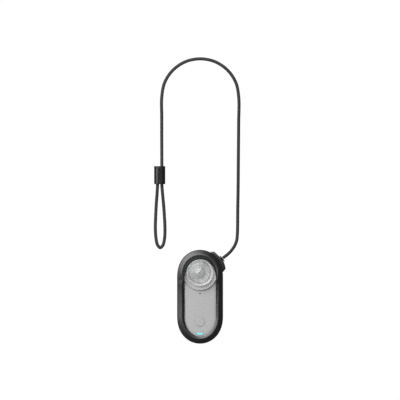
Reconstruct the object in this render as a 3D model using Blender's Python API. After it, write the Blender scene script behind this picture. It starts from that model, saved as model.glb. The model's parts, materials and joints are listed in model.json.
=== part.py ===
"""Thumb-size action camera in a silicone sleeve with a tether cord.

The camera lies on its magnetic back: +Z points out of the face, +Y to the lens end.
The origin is the middle of the flat back face.
"""

from math import acos, atan2, cos, degrees, hypot, pi, radians, sin, sqrt, tan

import bmesh
import bpy
from mathutils import Vector

MM = 0.001

# Camera body
BODY_HALF_WIDTH = 12.8 * MM
BODY_HALF_LENGTH = 27.4 * MM
BODY_DEPTH = 16.0 * MM
CAP_CENTRE = 11.55 * MM         # where the straight sides end and the round ends start
CAP_POWER = 2.3                 # 2 would be an ellipse
FACE_FILLET = 4.7 * MM
BACK_FILLET = 4.0 * MM
SHELL_WALL = 1.2 * MM
SHELL_SPLIT = 7.0 * MM          # height where the two shells meet
FIT_GAP = 0.25 * MM             # sleeve to camera
PART_GAP = 0.2 * MM             # between pieces that seat on each other
THIN_GAP = 0.15 * MM

# Lens, its stage and the twist-off guard
LENS_Y = 14.53 * MM
GUARD_RADIUS = 8.15 * MM
GUARD_TOP = 22.0 * MM
GUARD_TWIST = 30.0              # degrees from locked to free
STAGE_TOP = 16.9 * MM
STAGE_FLARE = 0.2 * MM          # how far the stage's foot stands out past its rim
STAGE_RIM = 0.25 * MM
STAGE_DISH = 1.35 * MM          # width of the slope from the rim down to the guard's bore
DISH_DROP = 0.6 * MM
LEDGE_LOW = 15.0 * MM           # the bayonet ledge that holds the guard's tabs
LEDGE_HIGH = 15.8 * MM
TAB_SPAN = 40.0                 # degrees
TAB_COUNT = 3
SEAT_TOP = LEDGE_LOW - 2.0 * MM
SEAT_LOW = SEAT_TOP - 1.0 * MM
TAB_LOW = LEDGE_LOW - 0.85 * MM
TAB_HIGH = LEDGE_LOW - PART_GAP
GLASS_LOW = 21.1 * MM
GLASS_RADIUS = GUARD_RADIUS - 0.55 * MM
GLASS_CROWN = GUARD_TOP + 1.1 * MM
BARREL_RADIUS = 5.05 * MM
BARREL_LOW = 7.3 * MM
BARREL_HEAD_LOW = 14.6 * MM
RETAINER_LOW = 17.6 * MM
RETAINER_TOP = 18.7 * MM
PUPIL_RADIUS = 3.0 * MM
PUPIL_TOP = 18.8 * MM
HOLDER_LOW = 5.2 * MM
HOLDER_TOP = 11.0 * MM
IR_RADIUS = BARREL_RADIUS - 0.45 * MM

# Face details
BUTTON_Y = -15.5 * MM
BUTTON_RADIUS = 2.8 * MM
BUTTON_TRAVEL = 0.3 * MM
MIC_Y = 2.0 * MM
MIC_HOLE_RADIUS = 0.4 * MM
STATUS_Y = -22.6 * MM
STATUS_LENGTH = 4.3 * MM
STATUS_WIDTH = 1.35 * MM
STATUS_SMILE = 0.18 * MM        # how far the bar's ends curve up
PLUNGER_RADIUS = 0.9 * MM
PLUNGER_TOP = 13.0 * MM

# Sleeve
SLEEVE_WALL = 0.95 * MM
RIM_WIDTH = 4.4 * MM            # seen from the front, outer edge to opening, along the sides
RIM_CREST = 17.3 * MM
RIM_CREST_SHARE = 0.68          # how far across the rim its crest lies
RIM_EDGE = 0.75 * MM            # thickness at the edge of the opening
SHOULDER_SLOPE = 0.44           # rise over run from the wall to the crest
SHOULDER_ROUND = 1.0 * MM       # radius between the wall and the shoulder
HOOD_EDGE = 0.5 * MM            # thickness at the edge of the opening, at the hood
HOOD_RISE = 1.8 * MM            # how far the hood's crest stands above the rim's
HOOD_HALF_ANGLE = 121.0         # degrees from the top of the lens to the hood's tips
HOOD_FADE = 12.0                # degrees over which the edge rises at the tips
HOOD_WALL_LEAD = 50.0           # degrees before the tips at which the wall and crest start to rise
HOOD_WALL_FADE = 80.0           # degrees over which they rise
HOOD_CREST_RADIUS = 11.3 * MM
OPENING_TOP_CENTRE = 11.1 * MM
OPENING_LOW_CENTRE = -12.0 * MM
OPENING_TOP_RIM = 5.4 * MM
OPENING_LOW_RIM = 4.3 * MM
BACK_LIP = 2.3 * MM             # how far the sleeve reaches in round the back
BACK_LIP_HEIGHT = 2.4 * MM
SLEEVE_BOTTOM = 0.2 * MM

# Tether
LUG_LOW = 4.2 * MM
LUG_HIGH = 11.0 * MM
LUG_FOOT = [(0.0, -13.6), (1.6, -11.6), (1.42, -10.2)]      # mm from the sleeve's own width and length
LUG_HEAD = [(-5.5, -1.05), (-7.2, -1.25), (-8.3, -1.75)]
LUG_SEAT_HALF = 2.3 * MM        # half the length of the flat that the anchor sits on
CORD_DIAMETER = 1.9 * MM
CORD_ANGLE = radians(39.0)
ANCHOR_RADIUS = 1.3 * MM
ANCHOR_DEPTH = 1.6 * MM         # of its barrel in the lug
ANCHOR_STAND = 1.1 * MM         # from the lug's seat to the cord's exit
FLANGE_WIDTH = 4.1 * MM
FLANGE_HEIGHT = 3.6 * MM
FLANGE_THICKNESS = 0.7 * MM
FERRULE_CENTRE = Vector((-24.6, 74.1, 2.4)) * MM
FERRULE_WIDTH = 6.8 * MM
FERRULE_LENGTH = 11.0 * MM
FERRULE_DEPTH = 4.6 * MM
FERRULE_EDGE = 0.3 * MM
FERRULE_PITCH = 2.6 * MM        # between its two holes

# The cord's route in mm: anchor, round bow, down through the crimp, end loop, back into the crimp
CORD_ROUTE = [
    (13.96, 23.60, 7.40), (18.02, 26.96, 6.60), (20.79, 30.61, 4.60), (22.29, 34.27, 2.80),
    (22.70, 37.92, 1.60), (22.85, 42.50, 1.05), (22.93, 52.54, 1.00), (23.16, 66.00, 1.00),
    (23.32, 85.00, 1.00), (23.50, 106.0, 1.00), (23.54, 121.5, 1.00),
    (21.76, 130.5, 1.00), (16.67, 138.1, 1.00), (9.06, 143.2, 1.00), (0.09, 144.95, 1.00),
    (-8.88, 143.2, 1.00), (-16.49, 138.1, 1.00), (-21.58, 130.5, 1.00), (-23.36, 121.5, 1.00),
    (-23.38, 110.0, 1.00), (-23.37, 98.0, 1.05), (-23.33, 88.0, 1.70), (-23.30, 80.0, 2.38),
    (-23.30, 74.1, 2.40), (-23.30, 68.6, 2.38), (-22.94, 63.5, 2.00), (-22.26, 56.2, 1.15), (-21.73, 48.9, 1.00),
    (-21.41, 41.6, 1.00), (-21.60, 36.0, 1.00), (-22.55, 31.6, 1.00), (-24.25, 29.9, 1.00),
    (-25.95, 31.6, 1.00), (-26.90, 36.0, 1.00), (-27.25, 41.6, 1.00), (-27.06, 48.9, 1.00),
    (-26.70, 56.2, 1.15), (-26.17, 63.5, 2.00), (-25.90, 68.6, 2.38), (-25.90, 77.0, 2.38),
]

# Sizes that follow from the ones above
SLEEVE_HALF_WIDTH = BODY_HALF_WIDTH + FIT_GAP + SLEEVE_WALL
SLEEVE_HALF_LENGTH = BODY_HALF_LENGTH + FIT_GAP + SLEEVE_WALL
CORD_EXIT = Vector((SLEEVE_HALF_WIDTH - 0.04 * MM, SLEEVE_HALF_LENGTH - 5.0 * MM, LUG_LOW + 3.2 * MM))
CORD_AXIS = Vector((cos(CORD_ANGLE), sin(CORD_ANGLE), 0.0))
LUG_FACE = CORD_EXIT - CORD_AXIS * ANCHOR_STAND
FLANGE_FACE = CORD_EXIT - CORD_AXIS * 0.25 * MM
GUARD_BORE = GUARD_RADIUS + 0.75 * MM
STAGE_RADIUS = GUARD_BORE + STAGE_DISH + STAGE_RIM
STAGE_FOOT = STAGE_RADIUS + STAGE_FLARE
SKIRT_RADIUS = GUARD_RADIUS - 0.75 * MM
TAB_RADIUS = GUARD_RADIUS - 0.15 * MM
LEDGE_RADIUS = SKIRT_RADIUS + PART_GAP
FACE_INNER = BODY_DEPTH - SHELL_WALL
FRAME_LOW = 8.2 * MM
FRAME_HIGH = 9.0 * MM
BOARD_LOW = FRAME_HIGH + 0.3 * MM
BOARD_HIGH = BOARD_LOW + 1.0 * MM
BACK_FLOOR = 1.0 * MM
SCREW_X = BODY_HALF_WIDTH - 3.4 * MM
SCREW_Y = (1.0 * MM, -12.0 * MM)
SCREW_RADIUS = 0.55 * MM
SCREW_TIP = 12.0 * MM
POST_RADIUS = 1.3 * MM
POST_TOP = FACE_INNER + 0.2 * MM
BOARD_END_Y = 4.5 * MM
BOARD_HALF_WIDTH = SCREW_X - POST_RADIUS - 0.35 * MM
BATTERY = (17.6 * MM, 20.0 * MM, 4.4 * MM)
BATTERY_Y = -5.5 * MM
BATTERY_LOW = 3.0 * MM
LEAD_Y = BATTERY_Y - 0.5 * BATTERY[1] - 0.25 * MM
CONTACT_Y = -20.5 * MM
CONTACT_BLOCK = (12.0 * MM, 3.2 * MM)
CONTACT_COUNT = 5
CONTACT_PITCH = 2.2 * MM
CONTACT_RADIUS = 0.6 * MM

# Points along the outlines and round the turned pieces
CAP_SEGMENTS = 16
SIDE_SEGMENTS = 6
ROUND_SEGMENTS = 32
SMALL_SEGMENTS = 20

# base colour, roughness, metallic
FINISHES = {
    "silicone": ((0.045, 0.045, 0.047), 0.55, 0.0),
    "cord": ((0.03, 0.03, 0.032), 0.8, 0.0),
    "crimp": ((0.035, 0.035, 0.037), 0.35, 0.0),
    "shell": ((0.47, 0.47, 0.47), 0.45, 0.0),
    "cyan": ((0.33, 0.85, 0.87), 0.2, 0.0),
    "black": ((0.02, 0.02, 0.022), 0.5, 0.0),
    "rubber": ((0.015, 0.015, 0.015), 0.8, 0.0),
    "glass": ((0.6, 0.65, 0.66), 0.03, 0.0),
    "board": ((0.02, 0.12, 0.06), 0.45, 0.0),
    "steel": ((0.55, 0.56, 0.58), 0.3, 1.0),
    "copper": ((0.72, 0.38, 0.2), 0.35, 1.0),
    "gold": ((0.83, 0.62, 0.25), 0.25, 1.0),
    "chip": ((0.03, 0.03, 0.035), 0.4, 0.0),
    "flex": ((0.55, 0.25, 0.04), 0.4, 0.0),
    "foil": ((0.6, 0.6, 0.62), 0.35, 0.8),
}


# ---------------------------------------------------------------- building blocks

def link_object(name, data, finish, location=(0.0, 0.0, 0.0)):
    """Give a mesh or curve its own material and put it in the scene."""
    colour, roughness, metallic = FINISHES[finish]
    material = bpy.data.materials.new(name + "_" + finish)
    material.use_nodes = True
    shader = material.node_tree.nodes["Principled BSDF"]
    shader.inputs["Base Color"].default_value = (*colour, 1.0)
    shader.inputs["Roughness"].default_value = roughness
    shader.inputs["Metallic"].default_value = metallic
    data.materials.append(material)
    piece = bpy.data.objects.new(name, data)
    piece.location = location
    bpy.context.collection.objects.link(piece)
    return piece


def add_object(name, mesh, finish, location=(0.0, 0.0, 0.0)):
    mesh.shade_smooth()
    mesh.set_sharp_from_angle(angle=radians(35.0))
    return link_object(name, mesh, finish, location)


def mesh_from(name, rings, loop_closed=False):
    """Skin a list of rings. A ring of one point is a pole; open ends with more points are capped."""
    shell = bmesh.new()
    rows = [[shell.verts.new(point) for point in ring] for ring in rings]
    pairs = list(zip(rows, rows[1:]))
    if loop_closed:
        pairs.append((rows[-1], rows[0]))
    for low, high in pairs:
        count = max(len(low), len(high))
        for i in range(count):
            j = (i + 1) % count
            if len(low) == 1:
                shell.faces.new((low[0], high[j], high[i]))
            elif len(high) == 1:
                shell.faces.new((low[i], low[j], high[0]))
            else:
                shell.faces.new((low[i], low[j], high[j], high[i]))
    if not loop_closed:
        if len(rows[0]) > 1:
            shell.faces.new(list(reversed(rows[0])))
        if len(rows[-1]) > 1:
            shell.faces.new(rows[-1])
    bmesh.ops.recalc_face_normals(shell, faces=shell.faces)
    mesh = bpy.data.meshes.new(name)
    shell.to_mesh(mesh)
    shell.free()
    return mesh


def turned(name, profile, finish, location, loop=False, segments=ROUND_SEGMENTS):
    """A profile of (radius, height) turned about Z. loop=True is a ring's closed section."""
    rings = []
    for radius, height in profile:
        if radius == 0.0:
            rings.append([(0.0, 0.0, height)])
            continue
        turn = [2.0 * pi * i / segments for i in range(segments)]
        rings.append([(radius * cos(a), radius * sin(a), height) for a in turn])
    return add_object(name, mesh_from(name, rings, loop_closed=loop), finish, location)


def ring(name, inner, outer, low, high, finish, location, segments=ROUND_SEGMENTS):
    section = [(inner, low), (outer, low), (outer, high), (inner, high)]
    return turned(name, section, finish, location, loop=True, segments=segments)


def disc(name, radius, low, high, finish, location, segments=ROUND_SEGMENTS):
    profile = [(0.0, low), (radius, low), (radius, high), (0.0, high)]
    return turned(name, profile, finish, location, segments=segments)


def block(name, size, centre, finish, bevel=0.0):
    body = bmesh.new()
    bmesh.ops.create_cube(body, size=1.0)
    bmesh.ops.scale(body, vec=Vector(size), verts=body.verts)
    if bevel > 0.0:
        bmesh.ops.bevel(body, geom=body.edges[:], offset=bevel, segments=2, profile=0.5, affect="EDGES")
    mesh = bpy.data.meshes.new(name)
    body.to_mesh(mesh)
    body.free()
    return add_object(name, mesh, finish, centre)


def prism(name, outline, low, high, finish, location=(0.0, 0.0, 0.0)):
    rings = [[(x, y, height) for x, y in outline] for height in (low, high)]
    return add_object(name, mesh_from(name, rings), finish, location)


def combine(target, tool, operation):
    """Cut or fuse the target with a tool, which then stays in the scene as a wire guide."""
    step = target.modifiers.new(tool.name, "BOOLEAN")
    step.operation = operation
    step.solver = "EXACT"
    step.object = tool
    tool.hide_render = True
    tool.display_type = "WIRE"


def cut(target, tool):
    combine(target, tool, "DIFFERENCE")


def fuse(target, tool):
    combine(target, tool, "UNION")


def capsule_outline(half_width, top_centre, top_rise, low_centre, low_rise, power):
    """A straight-sided outline with round ends, anticlockwise from the foot of the right side.

    Points on the sides lie closer together towards the top, where the sleeve's hood starts.
    """
    points = []

    def side(x, start, stop):
        for i in range(SIDE_SEGMENTS):
            share = i / SIDE_SEGMENTS
            share = 1.0 - (1.0 - share) ** 2 if stop > start else share ** 2
            points.append((x, start + (stop - start) * share))

    def cap(centre, rise, first):
        for i in range(CAP_SEGMENTS):
            turn = first + pi * i / CAP_SEGMENTS
            lift = abs(sin(turn)) ** (2.0 / power)
            points.append((half_width * cos(turn), centre + (rise if first == 0.0 else -rise) * lift))

    side(half_width, low_centre, top_centre)
    cap(top_centre, top_rise, 0.0)
    side(-half_width, top_centre, low_centre)
    cap(low_centre, low_rise, pi)
    return points


def body_outline(inset):
    """The camera's own outline, moved inwards."""
    rise = BODY_HALF_LENGTH - CAP_CENTRE - inset
    return capsule_outline(BODY_HALF_WIDTH - inset, CAP_CENTRE, rise, -CAP_CENTRE, rise, CAP_POWER)


def body_ring(inset, height):
    return [(x, y, height) for x, y in body_outline(inset)]


def fillet_rings(inset, radius, height, upwards, steps=5):
    """Rings of a quarter-round edge that ends flat at the given height."""
    rings = []
    for i in range(steps + 1):
        turn = 0.5 * pi * i / steps
        drop = radius * (1.0 - sin(turn))
        level = height - drop if upwards else height + drop
        rings.append(body_ring(inset + radius * (1.0 - cos(turn)), level))
    return rings if upwards else list(reversed(rings))


# ---------------------------------------------------------------- shells

def front_cover():
    low = SHELL_SPLIT + THIN_GAP
    rings = [body_ring(0.0, low)] + fillet_rings(0.0, FACE_FILLET, BODY_DEPTH, True)
    cover = add_object("front_cover", mesh_from("front_cover", rings), "shell")
    at_lens = (0.0, LENS_Y, 0.0)
    foot = FACE_INNER - 0.8 * MM
    stage = [(0.0, foot), (STAGE_FOOT, foot), (STAGE_FOOT, BODY_DEPTH), (STAGE_RADIUS, STAGE_TOP),
             (STAGE_RADIUS - STAGE_RIM, STAGE_TOP), (GUARD_BORE - 0.3 * MM, STAGE_TOP - DISH_DROP),
             (0.0, STAGE_TOP - DISH_DROP)]
    fuse(cover, turned("guide_stage", stage, "shell", at_lens))
    hollow = [body_ring(SHELL_WALL, low - 1.0 * MM)]
    hollow += fillet_rings(SHELL_WALL, FACE_FILLET - SHELL_WALL, FACE_INNER, True)
    cut(cover, add_object("guide_front_hollow", mesh_from("guide_front_hollow", hollow), "shell"))
    for sign_x, y in screw_places():
        post = disc(f"guide_post_{sign_x}_{y:.4f}", POST_RADIUS, BOARD_LOW - 0.1 * MM, POST_TOP, "shell",
                    (sign_x * SCREW_X, y, 0.0), 20)
        fuse(cover, post)
        bore = disc(f"guide_tapping_{sign_x}_{y:.4f}", SCREW_RADIUS + PART_GAP, BOARD_LOW - 1.0 * MM,
                    SCREW_TIP + 0.3 * MM, "shell", (sign_x * SCREW_X, y, 0.0), 16)
        cut(cover, bore)
    cut(cover, disc("guide_lower_bore", GUARD_BORE, FACE_INNER - 2.0 * MM, LEDGE_LOW, "shell", at_lens))
    cut(cover, disc("guide_upper_bore", GUARD_BORE, LEDGE_HIGH, STAGE_TOP + 1.0 * MM, "shell", at_lens))
    cut(cover, disc("guide_ledge_bore", LEDGE_RADIUS, LEDGE_LOW - 0.5 * MM, LEDGE_HIGH + 0.5 * MM, "shell",
                    at_lens))
    for i in range(TAB_COUNT):
        middle = 360.0 * i / TAB_COUNT + GUARD_TWIST
        cut(cover, sector(f"guide_notch_{i}", LEDGE_RADIUS - 0.5 * MM, TAB_RADIUS + PART_GAP, middle,
                          TAB_SPAN + 4.0, LEDGE_LOW - 0.3 * MM, LEDGE_HIGH + 0.3 * MM, at_lens))
    well = BODY_DEPTH + 1.0 * MM
    cut(cover, disc("guide_button_hole", BUTTON_RADIUS + PART_GAP, FACE_INNER - 1.0 * MM, well, "shell",
                    (0.0, BUTTON_Y, 0.0)))
    cut(cover, disc("guide_mic_hole", MIC_HOLE_RADIUS, FACE_INNER - 1.0 * MM, well, "shell",
                    (0.0, MIC_Y, 0.0), 20))
    slot = status_outline(THIN_GAP)
    cut(cover, prism("guide_status_slot", slot, FACE_INNER - 1.0 * MM, well, "shell"))


def rear_cover():
    rings = fillet_rings(0.0, BACK_FILLET, 0.0, False) + [body_ring(0.0, SHELL_SPLIT - THIN_GAP)]
    cover = add_object("rear_cover", mesh_from("rear_cover", rings), "shell")
    hollow = fillet_rings(SHELL_WALL, BACK_FILLET - SHELL_WALL, BACK_FLOOR, False)
    hollow += [body_ring(SHELL_WALL, SHELL_SPLIT + 1.0 * MM)]
    cut(cover, add_object("guide_rear_hollow", mesh_from("guide_rear_hollow", hollow), "shell"))
    size = (CONTACT_BLOCK[0] + 2.0 * PART_GAP, CONTACT_BLOCK[1] + 2.0 * PART_GAP, 4.0 * MM)
    cut(cover, block("guide_contact_slot", size, (0.0, CONTACT_Y, 0.0), "shell"))


def housing_seal():
    inset = SHELL_WALL + THIN_GAP
    low = SHELL_SPLIT - 0.8 * MM
    high = SHELL_SPLIT + 0.8 * MM
    thickness = 0.7 * MM
    rings = [body_ring(inset, low), body_ring(inset, high), body_ring(inset + thickness, high),
             body_ring(inset + thickness, low)]
    add_object("housing_seal", mesh_from("housing_seal", rings, loop_closed=True), "rubber")


def status_outline(gap):
    """A short bar with round ends, curved up a little at both ends."""
    half = 0.5 * (STATUS_LENGTH - STATUS_WIDTH)
    radius = 0.5 * STATUS_WIDTH + gap
    steps = 6
    points = []
    for i in range(steps + 1):
        x = half * (2.0 * i / steps - 1.0)
        points.append((x, STATUS_Y - radius + STATUS_SMILE * (x / half) ** 2))
    for i in range(1, steps):
        turn = -0.5 * pi + pi * i / steps
        points.append((half + radius * cos(turn), STATUS_Y + STATUS_SMILE + radius * sin(turn)))
    for i in range(steps + 1):
        x = half * (1.0 - 2.0 * i / steps)
        points.append((x, STATUS_Y + radius + STATUS_SMILE * (x / half) ** 2))
    for i in range(1, steps):
        turn = 0.5 * pi + pi * i / steps
        points.append((-half + radius * cos(turn), STATUS_Y + STATUS_SMILE + radius * sin(turn)))
    return points


def sector(name, inner, outer, middle, span, low, high, location):
    """A piece of a ring, span degrees long."""
    steps = 8
    turns = [radians(middle - 0.5 * span + span * i / steps) for i in range(steps + 1)]
    outline = [(outer * cos(a), outer * sin(a)) for a in turns]
    outline += [(inner * cos(a), inner * sin(a)) for a in reversed(turns)]
    return prism(name, outline, low, high, "black", location)


# ---------------------------------------------------------------- sleeve

def sleeve_outline():
    rise = SLEEVE_HALF_LENGTH - CAP_CENTRE
    return capsule_outline(SLEEVE_HALF_WIDTH, CAP_CENTRE, rise, -CAP_CENTRE, rise, CAP_POWER)


def opening_outline():
    top_rise = SLEEVE_HALF_LENGTH - OPENING_TOP_RIM - OPENING_TOP_CENTRE
    low_rise = SLEEVE_HALF_LENGTH - OPENING_LOW_RIM + OPENING_LOW_CENTRE
    return capsule_outline(SLEEVE_HALF_WIDTH - RIM_WIDTH, OPENING_TOP_CENTRE, top_rise,
                           OPENING_LOW_CENTRE, low_rise, 2.0)


def body_clearance(depth_in):
    """Lowest height of the sleeve over the camera's shoulder, depth_in from the sleeve's outside."""
    radius = FACE_FILLET + FIT_GAP
    centre = SLEEVE_WALL + FIT_GAP + FACE_FILLET
    along = min(max(centre - depth_in, 0.0), radius)
    return BODY_DEPTH - FACE_FILLET + sqrt(radius ** 2 - along ** 2)


def stage_clearance(distance):
    """Lowest height of the sleeve over the lens stage, at a distance from the lens centre."""
    gap = 0.35 * MM
    reach = 0.9 * MM
    if distance > STAGE_FOOT + reach:
        return 0.0
    slope = (STAGE_TOP + gap - BODY_DEPTH) / (reach - gap)
    return min(BODY_DEPTH + (STAGE_FOOT + reach - distance) * slope, STAGE_TOP + gap)


def hood_weight(x, y, lead, fade):
    """0 away from the hood and 1 inside it: it grows over fade degrees, from lead degrees before the tips."""
    distance = hypot(x, y - LENS_Y)
    off_top = degrees(acos((y - LENS_Y) / distance))
    t = min(max((HOOD_HALF_ANGLE + lead - off_top) / fade, 0.0), 1.0)
    return t * t * (3.0 - 2.0 * t)


def sleeve_section(outer, opening):
    """The closed section of the sleeve between a point of its outside and one of its opening."""
    span = hypot(opening[0] - outer[0], opening[1] - outer[1])

    def place(depth_in):
        share = depth_in / span
        return (outer[0] + (opening[0] - outer[0]) * share, outer[1] + (opening[1] - outer[1]) * share)

    def under(depth_in):
        x, y = place(depth_in)
        return max(body_clearance(depth_in), stage_clearance(hypot(x, y - LENS_Y)))

    rim_depth = RIM_CREST_SHARE * span
    weight = hood_weight(*place(rim_depth), 0.0, HOOD_FADE)
    wall_weight = hood_weight(*place(rim_depth), HOOD_WALL_LEAD, HOOD_WALL_FADE)
    outer_radius = hypot(outer[0], outer[1] - LENS_Y)
    opening_radius = hypot(opening[0], opening[1] - LENS_Y)
    hood_depth = span * (outer_radius - HOOD_CREST_RADIUS) / max(outer_radius - opening_radius, 0.1 * MM)
    crest_depth = rim_depth + (hood_depth - rim_depth) * weight
    edge_low = under(span)
    edge_high = edge_low + RIM_EDGE + (HOOD_EDGE - RIM_EDGE) * weight
    crest = max(RIM_CREST + HOOD_RISE * wall_weight, edge_high + 0.2 * MM)
    corner = RIM_CREST - SHOULDER_SLOPE * rim_depth + HOOD_RISE * wall_weight

    section = []
    for i in range(5):
        turn = 0.5 * pi * i / 4
        section.append((BACK_LIP * (1.0 - sin(turn)), SLEEVE_BOTTOM + BACK_LIP_HEIGHT * (1.0 - cos(turn))))
    bend = 0.5 * pi - atan2(crest - corner, crest_depth)
    round_low = corner - SHOULDER_ROUND * tan(0.5 * bend)
    for i in range(4):
        turn = bend * i / 3
        section.append((SHOULDER_ROUND * (1.0 - cos(turn)), round_low + SHOULDER_ROUND * sin(turn)))
    section.append((crest_depth, crest))
    for share in (0.45, 0.8, 1.0):
        # straight down to the edge along the rim, rounded over inside the hood
        fall = share + (1.0 - sqrt(1.0 - share ** 2) - share) * weight
        section.append((crest_depth + (span - crest_depth) * share, crest - (crest - edge_high) * fall))
    for share in (0.0, 0.1, 0.2, 0.3, 0.4, 0.5, 0.62, 0.74, 0.86, 0.95, 1.0):
        depth_in = span + (SLEEVE_WALL - span) * share
        section.append((depth_in, under(depth_in)))
    radius = BACK_FILLET + FIT_GAP
    for i in range(3):
        depth_in = SLEEVE_WALL + (BACK_LIP - SLEEVE_WALL) * (i / 2.0) ** 1.6
        along = SLEEVE_WALL + radius - depth_in
        section.append((depth_in, BACK_FILLET - sqrt(max(radius ** 2 - along ** 2, 0.0))))
    return [(*place(depth_in), height) for depth_in, height in section]


def lug_outline():
    """Outer corners of the tether lug, closed along the middle of the sleeve's wall."""
    foot, head = [[(SLEEVE_HALF_WIDTH + x * MM, SLEEVE_HALF_LENGTH + y * MM) for x, y in corners]
                  for corners in (LUG_FOOT, LUG_HEAD)]
    along_seat = Vector((-CORD_AXIS.y, CORD_AXIS.x, 0.0)) * LUG_SEAT_HALF
    seat = [tuple(end.xy) for end in (LUG_FACE - along_seat, LUG_FACE + along_seat)]
    outside = foot + seat + head
    inset = 0.5 * SLEEVE_WALL
    rise = SLEEVE_HALF_LENGTH - CAP_CENTRE - inset
    wall = capsule_outline(SLEEVE_HALF_WIDTH - inset, CAP_CENTRE, rise, -CAP_CENTRE, rise, CAP_POWER)
    inside = [(x, y) for x, y in wall if y > outside[0][1] and x > outside[-1][0]]
    return outside + list(reversed(inside))


def protective_sleeve():
    sections = [sleeve_section(*pair) for pair in zip(sleeve_outline(), opening_outline())]
    mesh = mesh_from("protective_sleeve", sections, loop_closed=True)
    sleeve = add_object("protective_sleeve", mesh, "silicone")
    fuse(sleeve, prism("guide_lug", lug_outline(), LUG_LOW, LUG_HIGH, "silicone"))
    bore = disc("guide_anchor_bore", ANCHOR_RADIUS + PART_GAP, -ANCHOR_DEPTH, 6.0 * MM, "silicone",
                LUG_FACE, 24)
    bore.rotation_euler = (0.0, pi / 2, CORD_ANGLE)
    cut(sleeve, bore)


# ---------------------------------------------------------------- tether

def cord_anchor():
    """Barrel in the lug, with a flange outside it. Built along +Z, then laid along the cord."""
    tail = -ANCHOR_STAND - ANCHOR_DEPTH + 0.25 * MM
    anchor = disc("cord_anchor", ANCHOR_RADIUS, tail, -0.35 * MM, "crimp", CORD_EXIT, 24)
    anchor.rotation_euler = (0.0, pi / 2, CORD_ANGLE)
    size = (FLANGE_HEIGHT, FLANGE_WIDTH, FLANGE_THICKNESS)
    centre = FLANGE_FACE - CORD_AXIS * 0.5 * FLANGE_THICKNESS
    flange = block("guide_flange", size, centre, "crimp", 0.2 * MM)
    flange.rotation_euler = (0.0, pi / 2, CORD_ANGLE)
    fuse(anchor, flange)


def smooth_route(points, samples):
    """Catmull-Rom curve through the route's points."""
    nodes = [Vector(point) * MM for point in points]
    nodes = [nodes[0] * 2.0 - nodes[1]] + nodes + [nodes[-1] * 2.0 - nodes[-2]]
    path = []
    for i in range(1, len(nodes) - 2):
        before, start, stop, after = nodes[i - 1:i + 3]
        knots = [0.0]
        for near, far in ((before, start), (start, stop), (stop, after)):
            knots.append(knots[-1] + (far - near).length ** 0.5)
        for j in range(samples):
            t = knots[1] + (knots[2] - knots[1]) * j / samples
            a1 = before.lerp(start, (t - knots[0]) / (knots[1] - knots[0]))
            a2 = start.lerp(stop, (t - knots[1]) / (knots[2] - knots[1]))
            a3 = stop.lerp(after, (t - knots[2]) / (knots[3] - knots[2]))
            b1 = a1.lerp(a2, (t - knots[0]) / (knots[2] - knots[0]))
            b2 = a2.lerp(a3, (t - knots[1]) / (knots[3] - knots[1]))
            path.append(b1.lerp(b2, (t - knots[1]) / (knots[2] - knots[1])))
    path.append(nodes[-2])
    return path


def tether_cord():
    """Round cord: a point every 2 to 3 diameters, closer together where it bends sharply."""
    fine = smooth_route(CORD_ROUTE, 40)
    kept = [fine[0]]
    walked = 0.0
    reach = 8
    for i in range(1, len(fine) - 1):
        walked += (fine[i] - fine[i - 1]).length
        back = fine[max(i - reach, 0)]
        ahead = fine[min(i + reach, len(fine) - 1)]
        bend = (fine[i] - back).angle(ahead - fine[i]) / (ahead - back).length
        step = min(max(0.35 / max(bend, 1.0), 1.2 * MM), 2.9 * CORD_DIAMETER)
        if walked >= step and (fine[-1] - fine[i]).length > 1.0 * MM:
            kept.append(fine[i])
            walked = 0.0
    kept.append(fine[-1])
    curve = bpy.data.curves.new("tether_cord", "CURVE")
    curve.dimensions = "3D"
    curve.bevel_depth = 0.5 * CORD_DIAMETER
    curve.bevel_resolution = 2
    curve.use_fill_caps = True
    spline = curve.splines.new("POLY")
    spline.points.add(len(kept) - 1)
    for point, place in zip(spline.points, kept):
        point.co = (*place, 1.0)
    link_object("tether_cord", curve, "cord")


def crimp_ferrule():
    half_width = 0.5 * FERRULE_WIDTH
    half_depth = 0.5 * FERRULE_DEPTH
    half_length = 0.5 * FERRULE_LENGTH
    edge = FERRULE_EDGE
    steps = 28

    def oval(shrink, y):
        ring_points = []
        for i in range(steps):
            turn = 2.0 * pi * i / steps
            flat = half_width - half_depth
            side = flat if cos(turn) >= 0.0 else -flat
            x = side + (half_depth - shrink) * cos(turn)
            ring_points.append((x, y, (half_depth - shrink) * sin(turn)))
        return ring_points

    rings = [oval(edge, -half_length), oval(0.0, edge - half_length), oval(0.0, half_length - edge),
             oval(edge, half_length)]
    ferrule = add_object("crimp_ferrule", mesh_from("crimp_ferrule", rings), "crimp", FERRULE_CENTRE)
    for side in (-1, 1):
        place = FERRULE_CENTRE + Vector((0.5 * side * FERRULE_PITCH, 0.0, 0.0))
        hole = disc(f"guide_ferrule_hole_{side}", 0.5 * CORD_DIAMETER + PART_GAP, -FERRULE_LENGTH,
                    FERRULE_LENGTH, "crimp", place, 20)
        hole.rotation_euler = (pi / 2, 0.0, 0.0)
        cut(ferrule, hole)


# ---------------------------------------------------------------- lens and guard

def bayonet_seat(at_lens):
    """Ring under the ledge. Its posts stop the tabs at both ends of the twist."""
    seat = ring("bayonet_seat", SKIRT_RADIUS - 1.2 * MM, GUARD_BORE - THIN_GAP, SEAT_LOW, SEAT_TOP, "black",
                at_lens)
    free_span = TAB_SPAN + GUARD_TWIST + 2.0
    for i in range(TAB_COUNT):
        start = 360.0 * i / TAB_COUNT - 0.5 * TAB_SPAN - 1.0
        span = 360.0 / TAB_COUNT - free_span
        post = sector(f"guide_stop_{i}", SKIRT_RADIUS + 0.25 * MM, GUARD_BORE - 0.3 * MM, start - 0.5 * span,
                      span, SEAT_LOW + 0.3 * MM, TAB_HIGH - 0.1 * MM, at_lens)
        fuse(seat, post)


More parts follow.
